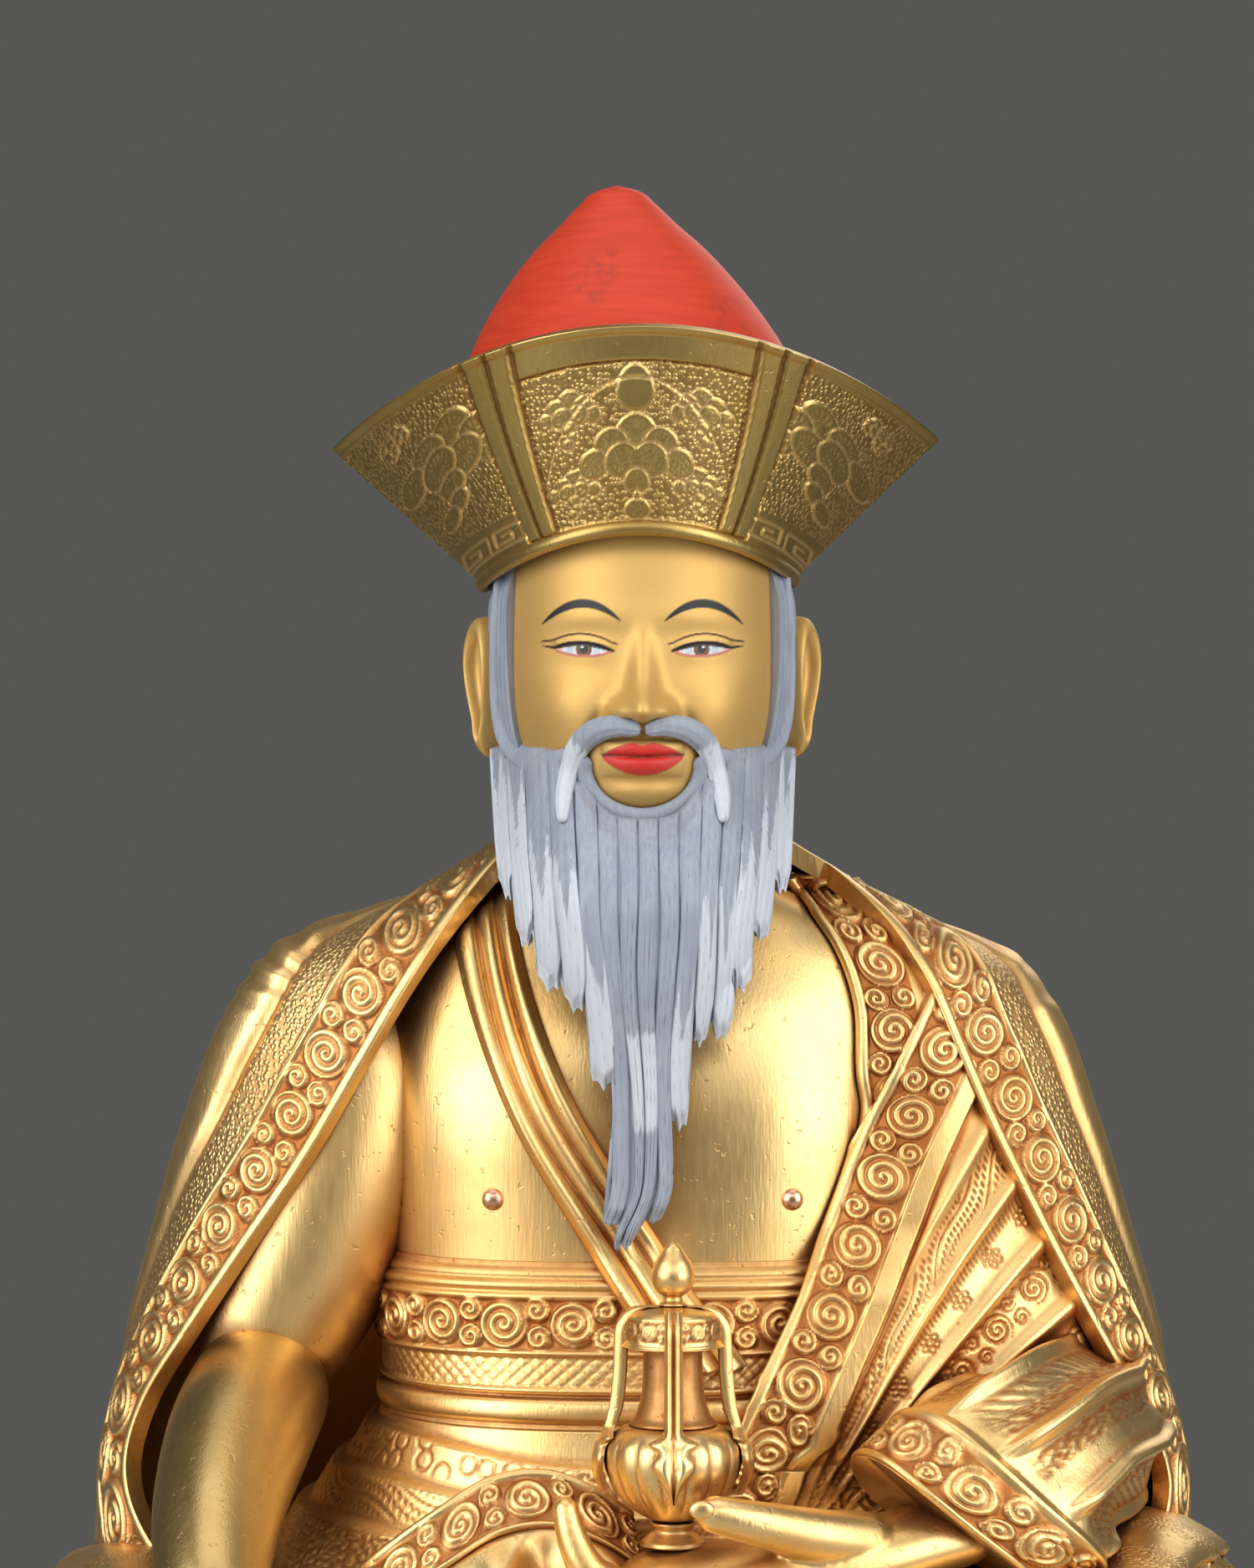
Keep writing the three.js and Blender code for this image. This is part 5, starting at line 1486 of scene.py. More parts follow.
# Each lock's x where it leaves the chin, x at its tip, and height of its tip.
LOCKS = (
    (-25.6, -23.6, 160), (-22.6, -20.6, 152), (-18.6, -16.2, 144.5), (-14.4, -11.2, 141), (-10.0, -7.4, 128),
    (-6.6, -1.4, 105), (-2.8, -0.6, 100.8), (0.9, 1.0, 101), (4.6, 3.0, 105.5), (8.6, 6.4, 121),
    (12.4, 9.4, 135.2), (16.0, 12.8, 136.4),
    (19.6, 17.0, 144.6), (23.0, 20.8, 153), (25.8, 24.2, 161),
)


def build_beard():
    """One sheet whose columns run down the locks. A lock is a flat strip between two thin cut lines,
    and the sheet's lower edge steps from tip to tip with a notch between each two."""
    tops, tips, feet = (np.array(column, float) for column in zip(*LOCKS))
    count = len(LOCKS)
    u, v = grid(np.linspace(0, count, 361), np.linspace(0, 1, 181))
    index = np.clip(np.floor(u), 0, count - 1).astype(int)
    local = 2 * (u - index) - 1
    knots = np.arange(count + 1)

    def edges(values, spread):
        """The borders between neighbouring values, with one past each end."""
        middle = (values[1:] + values[:-1]) / 2
        return np.concatenate([[values[0] - spread], middle, [values[-1] + spread]])

    top_x = np.interp(u, knots, edges(tops, 1.6))
    tip_x = np.interp(u, knots, edges(tips, 1.2))
    seed = chance(index, 8)
    tail = smooth(124, 108, feet)[index]
    notch = (3.0 + 3 * seed) * np.abs(local) ** 2.4 + 1.3 * np.abs(np.sin(local * (4 + 2 * seed) + 5 * seed))
    foot = np.maximum(feet[index] + notch * mix(1, 0.25, tail) - 0.8, 100)
    top = 186 - 12.5 * np.exp(-((top_x / 11.5) ** 4))
    z = mix(top, foot, v**0.92)
    share = np.clip((186 - z) / (186 - feet[index]), 0, 1)
    x = mix(top_x, tip_x, share**1.2) + 0.5 * np.sin(z / 8 + 1.7 * np.floor(u / 2)) * smooth(172, 150, z)
    x = x - 3.6 * smooth(114, 100, z) ** 1.5
    to_tip = z - foot
    pillow = (1 - np.abs(local) ** 5) * smooth(-4, 8, to_tip)
    layer = (
        0.8 * (chance(index, 5) - 0.5) + 0.8 * smooth(20, 0, to_tip) * (chance(index, 6) - 0.4) * (1 - tail)
    )
    wander = local + 0.25 * np.sin(z / 11 + 4 * seed)
    strand = np.abs(np.sin(wander * (4.5 + 2 * seed) + 3 * seed)) ** 0.35
    y = (
        beard_base(x, z) - 0.85 * pillow - layer + 0.32 * (1 - strand) + 1.0 * smooth(3, 0, to_tip)
        + 1.8 * smooth(0.06, 0, v)
    )
    brushed = smooth(30 + 10 * seed, 8, to_tip + 4 * np.sin(local * 5 + 9 * seed)) * mix(1, 0.35, tail)
    middle = tail * window(z, 116, 124, 134, 142) * (chance(index, 4) > 0.4)
    cut = smooth(0.9, 0.99, np.abs(local))
    cavity = np.clip(0.95 * cut + 0.5 * smooth(0.5, 0.1, strand), 0, 1)
    outer = stack(x, y, z)
    inner = stack(x * 0.97, np.maximum(y + 1.2, beard_base(x, z) + 2.0), z + 0.4)
    piece = slab("beard_locks", outer, inner, {"cavity": cavity, "paint": np.maximum(brushed, 0.8 * middle)})
    dress(piece, "hair", ["beard"])
    build_beard_rim()


def build_beard_rim():
    """The soft roll that edges the beard: down each cheek, and a cup under the mouth."""
    cheek = [
        (24.6, 219), (25.4, 208), (25.4, 198), (24.6, 191), (22.8, 186.4), (19.2, 183.6), (15.4, 183.4),
        (12.0, 184.6)
    ]
    for side, name in ((-1, "right"), (1, "left")):
        stations = []
        for i, (x, z) in enumerate(cheek):
            half, front, _ = HEAD(np.array(float(z)))
            y = float(front_at(x, half + 0.8, front + 0.8, HEAD_POWER))
            stations.append((side * x, y - 0.6, z, (1.2, 1.4, 1.6, 1.9, 2.1, 2.2, 2.1, 1.7)[i]))
        piece = tube(f"beard_rim_{name}", limb_points(stations, 28, 110, (0, 1, 0), 0.5, blunt=0.2))
        dress(piece, "hair")
    cup = []
    for angle in np.linspace(-1.75, 1.75, 13):
        x, z = 10.2 * math.sin(angle), MOUTH - 1.4 - 8.8 * math.cos(angle)
        half, front, _ = HEAD(np.array(z))
        y = float(front_at(x, half + 0.5, front + 0.5, HEAD_POWER)) - 1.0 - 2.0 * math.exp(-((x / 8) ** 2))
        cup.append((x, y, z, 1.5))
    piece = tube("beard_cup", limb_points(cup, 28, 120, (0, 1, 0), 0.65, blunt=0.2))
    dress(piece, "hair")


def build_moustache():
    """Two drooping locks that part under the nose, white along their lower half."""
    for side, name in ((-1, "right"), (1, "left")):
        path = [
            (0.4, 188.8, 1.2), (4, 189.6, 1.8), (8, 188.8, 2.1), (11, 186.2, 2.0), (12.8, 181.6, 1.6),
            (13.6, 177.4, 1.4), (13.8, 173.2, 0.8)
        ]
        stations = []
        for x, z, radius in path:
            half, front, _ = HEAD(np.array(float(max(z, 178.0))))
            y = float(front_at(x, half, front, HEAD_POWER)) - 2.4 - 1.6 * math.exp(-((x / 6) ** 2))
            y = mix(y, float(beard_base(np.array(x), np.array(z))) - 1.6, float(smooth(187, 177, z)))
            stations.append((side * x, y, z, radius))
        points = limb_points(stations, 36, 140, (0, 1, 0), 0.8, blunt=0.1)
        along = np.linspace(0, 1, 140)[:, None]
        turn = np.linspace(0, 2 * np.pi, 36, endpoint=False)[None]
        points = raised(points, 0.07 * np.sin(9 * turn) + 0 * along, wrap=True)
        white = smooth(0.4, 0.55, along) * 0.75 + 0 * turn
        piece = tube(f"moustache_{name}_lock", points, {"paint": white})
        dress(piece, "hair", [f"moustache_{name}"])


def tree(x, y, size):
    """A scalloped tree: rows of fanned lobes over a short curling trunk. Returns its body and its lines."""
    body = np.zeros(np.broadcast(x, y).shape)
    lines = body.copy()
    lobes = (
        (0, 0.62, 0.42), (-0.5, 0.42, 0.36), (0.5, 0.42, 0.36), (-0.86, 0.08, 0.3), (0.86, 0.08, 0.3),
        (-0.28, 0.12, 0.36), (0.28, 0.12, 0.36),
        (0, -0.3, 0.26), (-0.12, -0.62, 0.2), (0.06, -0.86, 0.2),
    )
    for cx, cy, radius in lobes:
        gap = np.hypot(x / size - cx, y / size - cy) - radius
        lines = lines * smooth(-0.02, 0.02, gap)
        lines = np.maximum(lines, groove(gap * size, 0.3))
        rays = groove(np.sin(np.arctan2(x / size - cx, y / size - cy) * 7) * 0.5, 0.3)
        inside = smooth(-0.3 * radius, -0.36 * radius, gap) * smooth(-0.85 * radius, -0.75 * radius, gap)
        lines = np.maximum(lines, 0.7 * rays * inside)
        body = np.maximum(body, smooth(0.02, -0.02, gap))
    return body, lines


# ---- Hat ----

BRIM_FOOT = 27.5  # half width at the brim's foot
BRIM_TIP = 54.0  # half width at its upper edge
BRIM_RISE = 33.0  # height from foot to upper edge


def brim_point(u, v, facing):
    """A point of the brim: u from -1 to 1 between the side points and v from the foot to the upper edge."""
    half = mix(BRIM_FOOT, BRIM_TIP, v)
    low = (HEAD_FRONT if facing < 0 else HEAD_BACK) + 1.9
    high = 50 if facing < 0 else 44
    depth = mix(low, high, v)
    roundness = mix(1 / 2.05, 1 / 1.15, np.sqrt(v))
    arch = mix(7.5, 16, v) * u * u
    y = facing * depth * np.clip(1 - np.abs(u) ** 2.25, 0, 1) ** roundness
    return stack(half * u, y, HAT_LINE + BRIM_RISE * v - arch)


def set_hat(points):
    """The hat sits a touch to the right and tips a little that way, as a hand-fitted hat does."""
    tilt = math.radians(-0.9)
    x, z = points[..., 0], points[..., 2] - HAT_LINE
    return stack(
        x * math.cos(tilt) + z * math.sin(tilt) - 0.9, points[..., 1],
        HAT_LINE + z * math.cos(tilt) - x * math.sin(tilt)
    )


def beard_base(x, z):
    """The beard's front before its locks. Its top slopes back to meet the chin."""
    return beard_y(x, z) + 6.5 * smooth(157, 175, z) * bell(x, 0, 13)


def meander(s, t, pitch, width):
    """A key fret: distance to a line that steps round a square hook in each pitch."""
    u = (s / pitch - np.floor(s / pitch)) * 6
    v = t / width * 6
    hooks = (
        (0, 1, 0, 5), (0, 5, 5, 5), (5, 5, 5, 2), (5, 2, 2, 2), (2, 2, 2, 3.6), (2, 3.6, 3.6, 3.6),
        (0, 1, 6, 1)
    )
    distance = np.full(np.broadcast(s, t).shape, 9.0)
    for x0, y0, x1, y1 in hooks:
        dx, dy = x1 - x0, y1 - y0
        share = np.clip(((u - x0) * dx + (v - y0) * dy) / (dx * dx + dy * dy), 0, 1)
        distance = np.minimum(distance, np.hypot(u - x0 - share * dx, v - y0 - share * dy))
    return distance * pitch / 6


def brim_ornament(x, u, v):
    """Cuts and pebbled ground of the front panel: framed middle, two ribs each side, trees and fret."""
    ax = np.abs(x)
    across = ax / mix(BRIM_FOOT, BRIM_TIP, v)
    tall = BRIM_RISE * v
    rib = mix(0.56, 0.47, v)
    middle = (
        smooth(rib - 0.075, rib - 0.085, across) * smooth(27.4, 27.0, tall + 2.6 * u * u)
        * smooth(0.8, 1.2, tall)
    )
    side = smooth(rib + 0.075, rib + 0.085, across) * window(tall, 1.0, 1.4, 30.6, 31.0)
    fret_zone = side * smooth(6.4, 6.2, tall)
    side = side * smooth(6.6, 7.0, tall)
    cuts = np.zeros(x.shape)
    figure = np.zeros(x.shape)
    drops = (
        (11.2, 18.6, 4.7, middle), (10.6, 6.4, 3.9, middle), (0, 10.0, 8.4, middle),
        (31.5, 18.2, 8.4, side), (42.0, 26.8, 2.4, side)
    )
    for cx, cy, size, zone in drops:
        body, lines = tree(ax - cx, tall - cy, size)
        figure = np.maximum(figure * (1 - body * zone), body * zone)
        cuts = np.maximum(cuts * (1 - body * zone), lines * zone)
    flame = np.hypot(ax / 3.3, (tall - 22.2) / mix(3.2, 4.6, smooth(21, 25, tall))) - 1
    figure = np.maximum(figure, middle * smooth(0.05, -0.05, flame))
    cuts = np.maximum(cuts * smooth(-0.1, 0.05, flame), middle * groove(flame * 3.3, 0.3))
    arch = np.abs(np.hypot(ax / 15.2, (tall - 6) / 18.6) - 1) * 15
    cuts = np.maximum(cuts, middle * groove(arch, 0.35))
    fret = groove(meander(ax - 0.3 * tall, tall - 1.4, 6.0, 4.4), 0.4) * fret_zone
    zone = np.maximum(middle, side) * (1 - figure)
    ribs = sum(smooth(0.034, 0.026, np.abs(across - rib - shift)) for shift in (-0.038, 0.038))
    frame_lines = (
        groove((across - (rib - 0.08)) * 40, 0.5) + groove((across - (rib + 0.08)) * 40, 0.5)
        + groove((across - rib) * 40, 0.4)
    )
    top_line = groove(tall + 2.6 * u * u - 27.2, 0.4) * smooth(rib - 0.07, rib - 0.09, across)
    relief = -0.35 * np.maximum(middle, side) + 0.28 * figure - 0.26 * cuts - 0.3 * fret
    relief = relief + 0.55 * ribs * smooth(0.5, 1.5, tall) - 0.4 * np.clip(frame_lines + top_line, 0, 1)
    relief = relief + 0.6 * ridge(tall, BRIM_RISE, 1.3)
    dark = 0.5 * bell(cuts, 0.35, 0.2) + 0.4 * fret + 0.9 * np.clip(frame_lines + top_line, 0, 1)
    # Painted highlight: the cut lines and the fret are marked to be painted pale gold.
    painted_highlight = 0.85 * smooth(0.5, 0.9, cuts) + 0.8 * fret
    return relief, np.clip(dark, 0, 1), np.clip(painted_highlight, 0, 1), zone


def build_brim():
    """The brim's front and back: two flared sheets that meet in points at the sides."""
    for facing, name, cell in ((-1, "front", 0.29), (1, "back", 0.6)):
        reach = steps(-0.5, 0.5, cell / 150)
        u, v = grid(np.sin(np.pi * reach) * 0.9985, steps(0, 1, cell / 38))
        points = brim_point(u, v, facing)
        relief, dark, painted_highlight, ground = brim_ornament(points[..., 0], u, v)
        settle = smooth(0.9985, 0.985, np.abs(u))
        outward = facing * -normals(points)
        outer = points + outward * (0.8 + relief * settle)[..., None]
        inner = points - outward * 0.8
        outer[..., 1] = np.where(facing < 0, np.minimum(outer[..., 1], -0.2), np.maximum(outer[..., 1], 0.2))
        inner[..., 1] = np.where(facing < 0, np.minimum(inner[..., 1], -0.2), np.maximum(inner[..., 1], 0.2))
        piece = slab(
            f"brim_{name}", set_hat(outer), set_hat(inner),
            {"cavity": dark, "painted_highlight": painted_highlight, "ground": ground}
        )
        dress(piece, "old_gilding", [f"hat_brim_{name}"], body="hat")


def build_hat_band():
    """The rolled band under the brim: an oval bar carried round the brim's foot."""
    turn = np.linspace(0, 2 * np.pi, 240, endpoint=False)
    ring_turn = np.linspace(0, 2 * np.pi, 28, endpoint=False)
    u = np.sin(turn)
    front, back = brim_point(u, 0 * u, -1), brim_point(u, 0 * u, 1)
    path = np.where((np.cos(turn) > 0)[:, None], front, back)
    path[:, 2] -= 0.6
    out = path * [1, 1, 0]
    out /= np.linalg.norm(out, axis=1)[:, None]
    points = path[None] + out[None] * (1.2 * np.cos(ring_turn) + 0.5)[:, None, None]
    points = points + np.array([0, 0, 1.35]) * np.sin(ring_turn)[:, None, None]
    piece = ring("brim_roll", set_hat(points))
    dress(piece, "old_gilding", ["hat_band"], body="hat")


def build_crown():
    """The red crown: a full bell shape, open below, with a soft blunt tip."""
    profile = by_key(
        (HAT_LINE + 3, 26.3, 36.8, 26.8),
        (HAT_LINE + 12, 29.0, 36, 28.6),
        (HAT_LINE + 24, 30.8, 34.0, 30.8),
        (HAT_LINE + 31, 29.0, 31, 29),
        (HAT_LINE + 38, 25.4, 26.8, 25.6),
        (HAT_LINE + 45, 20.6, 21.0, 20.6),
        (HAT_LINE + 51, 15.6, 15.6, 15.6),
        (HAT_LINE + 56, 10.4, 10.4, 10.4),
        (HAT_LINE + 59.6, 6.8, 6.8, 6.8),
        (HAT_LINE + 61.9, 4.0, 4.0, 4.0),
        (HAT_LINE + 63, 0.4, 0.4, 0.4),
    )
    up = np.linspace(0, 1, 110)
    rows = HAT_LINE + 3 + 60 * (1 - (1 - up) ** 1.4)
    turn, z = grid(np.linspace(0, 2 * np.pi, 180, endpoint=False), rows)
    half, front, back = profile(z)
    x, y = outline(turn, half, front, back, 2.1)
    lean = -2.6 * smooth(HAT_LINE + 8, HAT_LINE + 63, z)
    inner = stack(x * 0.94 + lean, y * 0.95, z - 1.0 - 1.5 * smooth(HAT_LINE + 40, HAT_LINE + 63, z))[::-5]
    points = np.concatenate([inner, stack(x + lean, y, z)])
    piece = tube("crown", set_hat(points))
    dress(piece, "red_paint", ["hat_crown"], body="hat")


# ---- Vase ----


def turned(rows, count):
    """Rows of (radius, height), smoothed to count rows and carried round the vase's axis. Returns the
    heights, as a column, and the points."""
    table = np.array(rows, float)
    share = np.linspace(0, 1, len(table))
    radius, z = (row[:, None] for row in by_key(*np.column_stack([share, table]))(np.linspace(0, 1, count)))
    radius = np.maximum(radius, 0.02)
    return z, stack(VASE_X + radius * np.sin(VASE_TURN), VASE_Y - radius * np.cos(VASE_TURN), z)


def build_vase():
    """Five turned castings: foot, fluted bowl, neck, a lid with a scroll border and an onion knob."""
    foot_low, _ = heights_of("vase_foot")
    body_low, body_high = heights_of("vase_body")
    neck_low, neck_high = heights_of("vase_neck")
    lid_low, lid_high = heights_of("vase_lid")
    knob_low, knob_high = heights_of("vase_finial")
    foot = [(0.05, 0), (4.9, 0), (5.3, 0.7), (4.4, 1.5), (3.3, 2.6), (3.6, 4), (0.05, 4)]
    bowl_foot = [(0.05, 0), (3.4, 0.1), (6.6, 1.8), (9.3, 4.6), (10.9, 8), (11.35, 10.6)]
    bowl_top = [(10.9, 2.8), (9.2, 0.9), (6.6, 0), (0.05, 0)]
    bowl = [(r, body_low + up) for r, up in bowl_foot] + [(r, body_high - down) for r, down in bowl_top]
    neck_foot = [(0.05, -0.3), (7.0, -0.3), (6.2, 1.3), (5.2, 5)]
    neck_top = [(4.9, -1), (5.2, 0.2), (0.05, 0.2)]
    neck = [(r, neck_low + up) for r, up in neck_foot] + [(r, neck_high + up) for r, up in neck_top]
    lid_foot = [(0.05, 0), (7.9, 0), (8.4, 0.5), (8.1, 1.1), (8.0, 3.8), (6.9, 5.6)]
    lid = [(r, lid_low + up) for r, up in lid_foot] + [
        (4.2, lid_high - 0.2), (2.3, lid_high), (0.05, lid_high)
    ]
    knob_foot = [(0.05, 0), (2.3, 0), (1.7, 0.8), (1.6, 1.5), (2.9, 2.5), (3.6, 4.7), (3.1, 6.8), (1.8, 8.8)]
    knob = [(r, knob_low + up) for r, up in knob_foot] + [(1.1, knob_high - 0.7), (0.05, knob_high)]

    z, points = turned(bowl, 96)
    fluted = smooth(body_low + 0.5, body_low + 4, z) * smooth(body_high - 0.8, body_high - 3.0, z)
    flute = np.abs(np.cos(FLUTE_PAIRS * VASE_TURN)) ** 0.7
    points = raised(points, 0.38 * fluted * (flute - 0.6), wrap=True)
    lower = (
        groove(hatch(VASE_TURN * 11, z, 1.6, 0.5), 0.22) * smooth(body_low + 7.6, body_low + 7.0, z)
        * fluted
    )
    cavity = np.clip(0.7 * smooth(0.35, 0.1, flute) * fluted + 0.4 * lower, 0, 1)
    dress(tube("vase_bowl", points, {"cavity": cavity}), "gilding", ["vase_body"], body="vase")

    z, points = turned(lid, 64)
    radius, width, repeats = 8.0, 3.4, 12
    pitch = radius * 2 * np.pi / repeats
    height, cavity = scrolls(VASE_TURN * radius, np.clip(z - lid_low - 1.3, 0, width), width, pitch, 71)
    band = smooth(lid_low + 1.2, lid_low + 1.5, z) * smooth(lid_low + 5.0, lid_low + 4.6, z)
    points = raised(points, 0.35 * band * (height - 0.6), wrap=True)
    dress(tube("vase_cover", points, {"cavity": band * cavity}), "gilding", ["vase_lid"], body="vase")

    _, points = turned(neck, 32)
    dark = np.full(points.shape[:2], 0.75)
    dress(tube("vase_throat", points, {"cavity": dark}), "gilding", ["vase_neck"], body="vase")
    foot = [(r, foot_low + up) for r, up in foot]
    for name, node, rows in (("stem", "vase_foot", foot), ("onion", "vase_finial", knob)):
        _, points = turned(rows, 50)
        dress(tube(f"vase_{name}", points), "gilding", [node], body="vase")
    build_vase_straps(body_high, lid_low, lid_high)


def build_vase_straps(body_high, lid_low, lid_high):
    """Four straps from the lid, standing clear of the neck, with a leaf where each lies on the bowl."""
    on_lid = [(2.6, lid_high + 0.1), (5.6, lid_low + 6.3), (7.9, lid_low + 3.6), (8.3, lid_low + 0.2)]
    beside_neck = [(8.5, lid_low - 4.5), (9.2, body_high + 2.6), (10.7, body_high - 1.0)]
    on_bowl = [(12.3, body_high - 4.4), (12.2, body_high - 8.0), (10.4, body_high - 11.6)]
    path = np.array(on_lid + beside_neck + on_bowl)
    share = np.linspace(0, 1, len(path))
    w, v = grid(steps(-1, 1, 0.07), steps(0, 1, 0.008))
    radius, z = by_key(*np.column_stack([share, path]))(v)
    leaf = smooth(0.56, 0.66, v)
    leaf_width = 2.4 * bell(v, 0.69, 0.03) + 2.1 * bell(v, 0.80, 0.07) - 1.2 * smooth(0.88, 1, v)
    across = w * (mix(1.55, 1.5, leaf) + leaf * leaf_width)
    rib = 0.45 * bell(np.abs(w), 0.52, 0.28) - 0.45 * bell(w, 0, 0.16)
    edge = np.sqrt(np.clip(1 - np.abs(w) ** 4, 0, 1))
    hug = leaf * across**2 / (2 * 12.5)
    body = 1.1 * mix(1.0, 0.65, leaf)
    cavity = np.clip(0.8 * bell(w, 0, 0.12) + 0.4 * leaf * smooth(0.7, 1, np.abs(w)), 0, 1)
    for quarter, name in enumerate(("front", "left", "back", "right")):
        s, c = math.sin(quarter * math.pi / 2), math.cos(quarter * math.pi / 2)
        outer, inner = (
            stack(VASE_X + out * s + across * c, VASE_Y - out * c + across * s, z)
            for out in (radius + (body + rib) * edge - hug, radius - 0.5 - 0.4 * edge * (1 - leaf) - hug)
        )
        piece = slab(f"leaf_strap_{name}", outer, inner, {"cavity": cavity})
        dress(piece, "gilding", [f"vase_strap_{name}"], body="vase")


# ---- Base ----


WALL = 2.5  # thickness of the base's castings


def base_outline(turn, offset, half, depth):
    """x and y of the base's oval, moved out by an offset."""
    return outline(turn, half + offset, depth + offset, depth + offset, 2.2)


def build_base():
    """Two rings of lotus petals, back to back, between a moulded foot and a beaded seat plate."""
    (low, high) = node_box("base_foot")
    half, depth = (high[0] - low[0]) / 2, (high[1] - low[1]) / 2
    petals = bpy.context.scene.figure_settings.petals
    for name, node, up in (("lower", "lower_petals", -1), ("upper", "upper_petals", 1)):
        box_low, box_high = node_box(node)
        share = np.linspace(0, 1, 42)
        turn, v = grid(np.linspace(0, 2 * np.pi, petals * 28, endpoint=False), share)
        cell = (turn * petals / (2 * np.pi)) % 1 - 0.5
        # v runs from the waist to the petal's tip.
        lip = np.clip(1 - (2 * np.abs(cell)) ** 2.4, 0, 1)
        petal = smooth(0.0, 0.22, lip * 1.05 - 0.75 * v**3)
        bulge = mix(-15.0, -2.4, np.sin(v * 1.45) / math.sin(1.45))
        plump = 2.2 * lip**0.7 * np.sin(np.pi * np.clip(v * 0.95, 0, 1)) ** 0.8
        inner_leaf = (
            0.8 * smooth(0.0, 0.12, np.clip(1 - (2.9 * np.abs(cell)) ** 2.2, 0, 1) - 0.85 * v**2)
            * smooth(0.05, 0.2, v)
        )
        curl = 1.3 * lip * bell(v, 0.93, 0.05)
        offset = bulge + petal * (plump + 0.8) + inner_leaf * petal + curl - 1.2 * (1 - petal)
        x, y = base_outline(turn, offset, half, depth)
        z = mix(box_low[2], box_high[2], v) if up > 0 else mix(box_high[2], box_low[2], v)
        outer = stack(x, y, z)
        xi, yi = base_outline(turn[:1], -18.0, half, depth)
        ring_low = stack(xi, yi, z[:1])
        ring_high = stack(xi, yi, z[-1:])
        points = np.concatenate([ring_low, outer, ring_high]) - ORIGIN
        cavity = np.clip(0.9 * (1 - petal) + 0.5 * groove(lip - 0.5, 0.1), 0, 1)
        cavity = np.concatenate([0 * cavity[:1], cavity, 0 * cavity[:1]])
        piece = ring(f"{name}_lotus", points, {"cavity": cavity})
        dress(piece, "gilding", [node])
    build_base_rings(half, depth)


def ring(name, points, attributes=None):
    """A grid wrapped both ways: round the base, and from its last row back to its first."""
    index = np.arange(points.shape[0] * points.shape[1]).reshape(points.shape[:2])
    index = np.concatenate([index, index[:1]])
    return mesh_object(name, place(points), [quads(index, wrap=True)], flat_attributes(attributes, 0))


def build_base_rings(half, depth):
    """The moulded foot, the half-round waist and seat rim, and the beads: profiles carried round the oval."""
    top = node_box("base_foot")[1][2]
    seat_low, seat_high = node_box("seat_plate")
    waist_low, waist_high = node_box("base_waist")
    turn = np.linspace(0, 2 * np.pi, 360, endpoint=False)

    def moulding(name, rows, node):
        """A ring that follows the base's oval with a profile given as rows of (offset, height)."""
        table = np.array(rows, float)
        angle, _ = grid(turn, table[:, 1])
        x, y = base_outline(angle, table[:, :1] + 0 * angle, half, depth)
        points = stack(x, y, table[:, 1:] + 0 * angle) - ORIGIN
        piece = ring(name, points)
        dress(piece, "gilding", [node] if node else ())

    def arc(offset, height, reach, tall, ends, count):
        """A half-round of the profile: rows of (offset, height) on an arc."""
        return [
            (offset + reach * math.cos(a), height + tall * math.sin(a)) for a in np.linspace(*ends, count)
        ]

    quarter_turns = (-1.5, 1.5)
    foot = [(-22, 0)] + arc(-0.6, 1.6, 0.6, 1.6, quarter_turns, 9) + arc(-1.2, 5.2, 1.1, 1.8, (-1.2, 1.4), 9)
    foot += [(-4, top - 0.6), (-4.3, top), (-4 - WALL, top), (-1 - 2 * WALL, WALL), (-22, WALL)]
    moulding("foot_moulding", foot, "base_foot")
    waist_roll = arc(-15, (waist_low[2] + waist_high[2]) / 2, 1.6, 2.9, quarter_turns, 15)
    moulding("waist_roll", [(-17.5, waist_low[2])] + waist_roll + [(-17.5, waist_high[2])], "base_waist")
    seat_roll = arc(-5, (seat_low[2] + seat_high[2]) / 2, 1.0, 1.2, quarter_turns, 9)
    moulding("seat_rim", [(-60, seat_low[2])] + seat_roll + [(-60, seat_high[2])], "")
    build_beads(half, depth, seat_low[2] - 1.9, -3.2)


def build_beads(half, depth, z, offset):
    """A row of small beads under the seat plate: one low sphere repeated round the oval, as one mesh."""
    count, radius = bpy.context.scene.figure_settings.beads, 1.75
    tilt, turn = grid(np.linspace(-1.45, 1.45, 7), np.linspace(0, 2 * np.pi, 10, endpoint=False))
    tilt, turn = tilt.T, turn.T
    ball = stack(np.cos(tilt) * np.cos(turn), np.cos(tilt) * np.sin(turn), np.sin(tilt)) * radius
    part, faces, _ = tube_mesh(ball)
    # Beads stand at even distances round the oval.
    fine = np.linspace(0, 2 * np.pi, 4000)
    x, y = base_outline(fine, offset, half, depth)
    run = np.concatenate([[0], np.cumsum(np.hypot(np.diff(x), np.diff(y)))])
    angle = np.interp(np.arange(count) * run[-1] / count, run, fine)
    x, y = base_outline(angle, offset, half, depth)
    centres = stack(x, y, z + 0 * x) - ORIGIN
    vertices = (centres[:, None] + part[None]).reshape(-1, 3)
    shift = (np.arange(count) * len(part))[:, None, None]
    faces = [(face[None] + shift).reshape(-1, face.shape[1]) for face in faces]
    piece = mesh_object("seat_beads", place(vertices), faces)
    dress(piece, "gilding")


def keep_nodes():
    """The plain plates and the peg stay as they are and get their finish."""
    for node, finish in (
        ("seat_plate", "gilding"), ("sealing_plate", "sheet_copper"), ("vase_peg", "bare_copper")
    ):
        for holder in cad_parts[node].material_slots:
            holder.material = finish_named(finish)


# ---- Stage ----


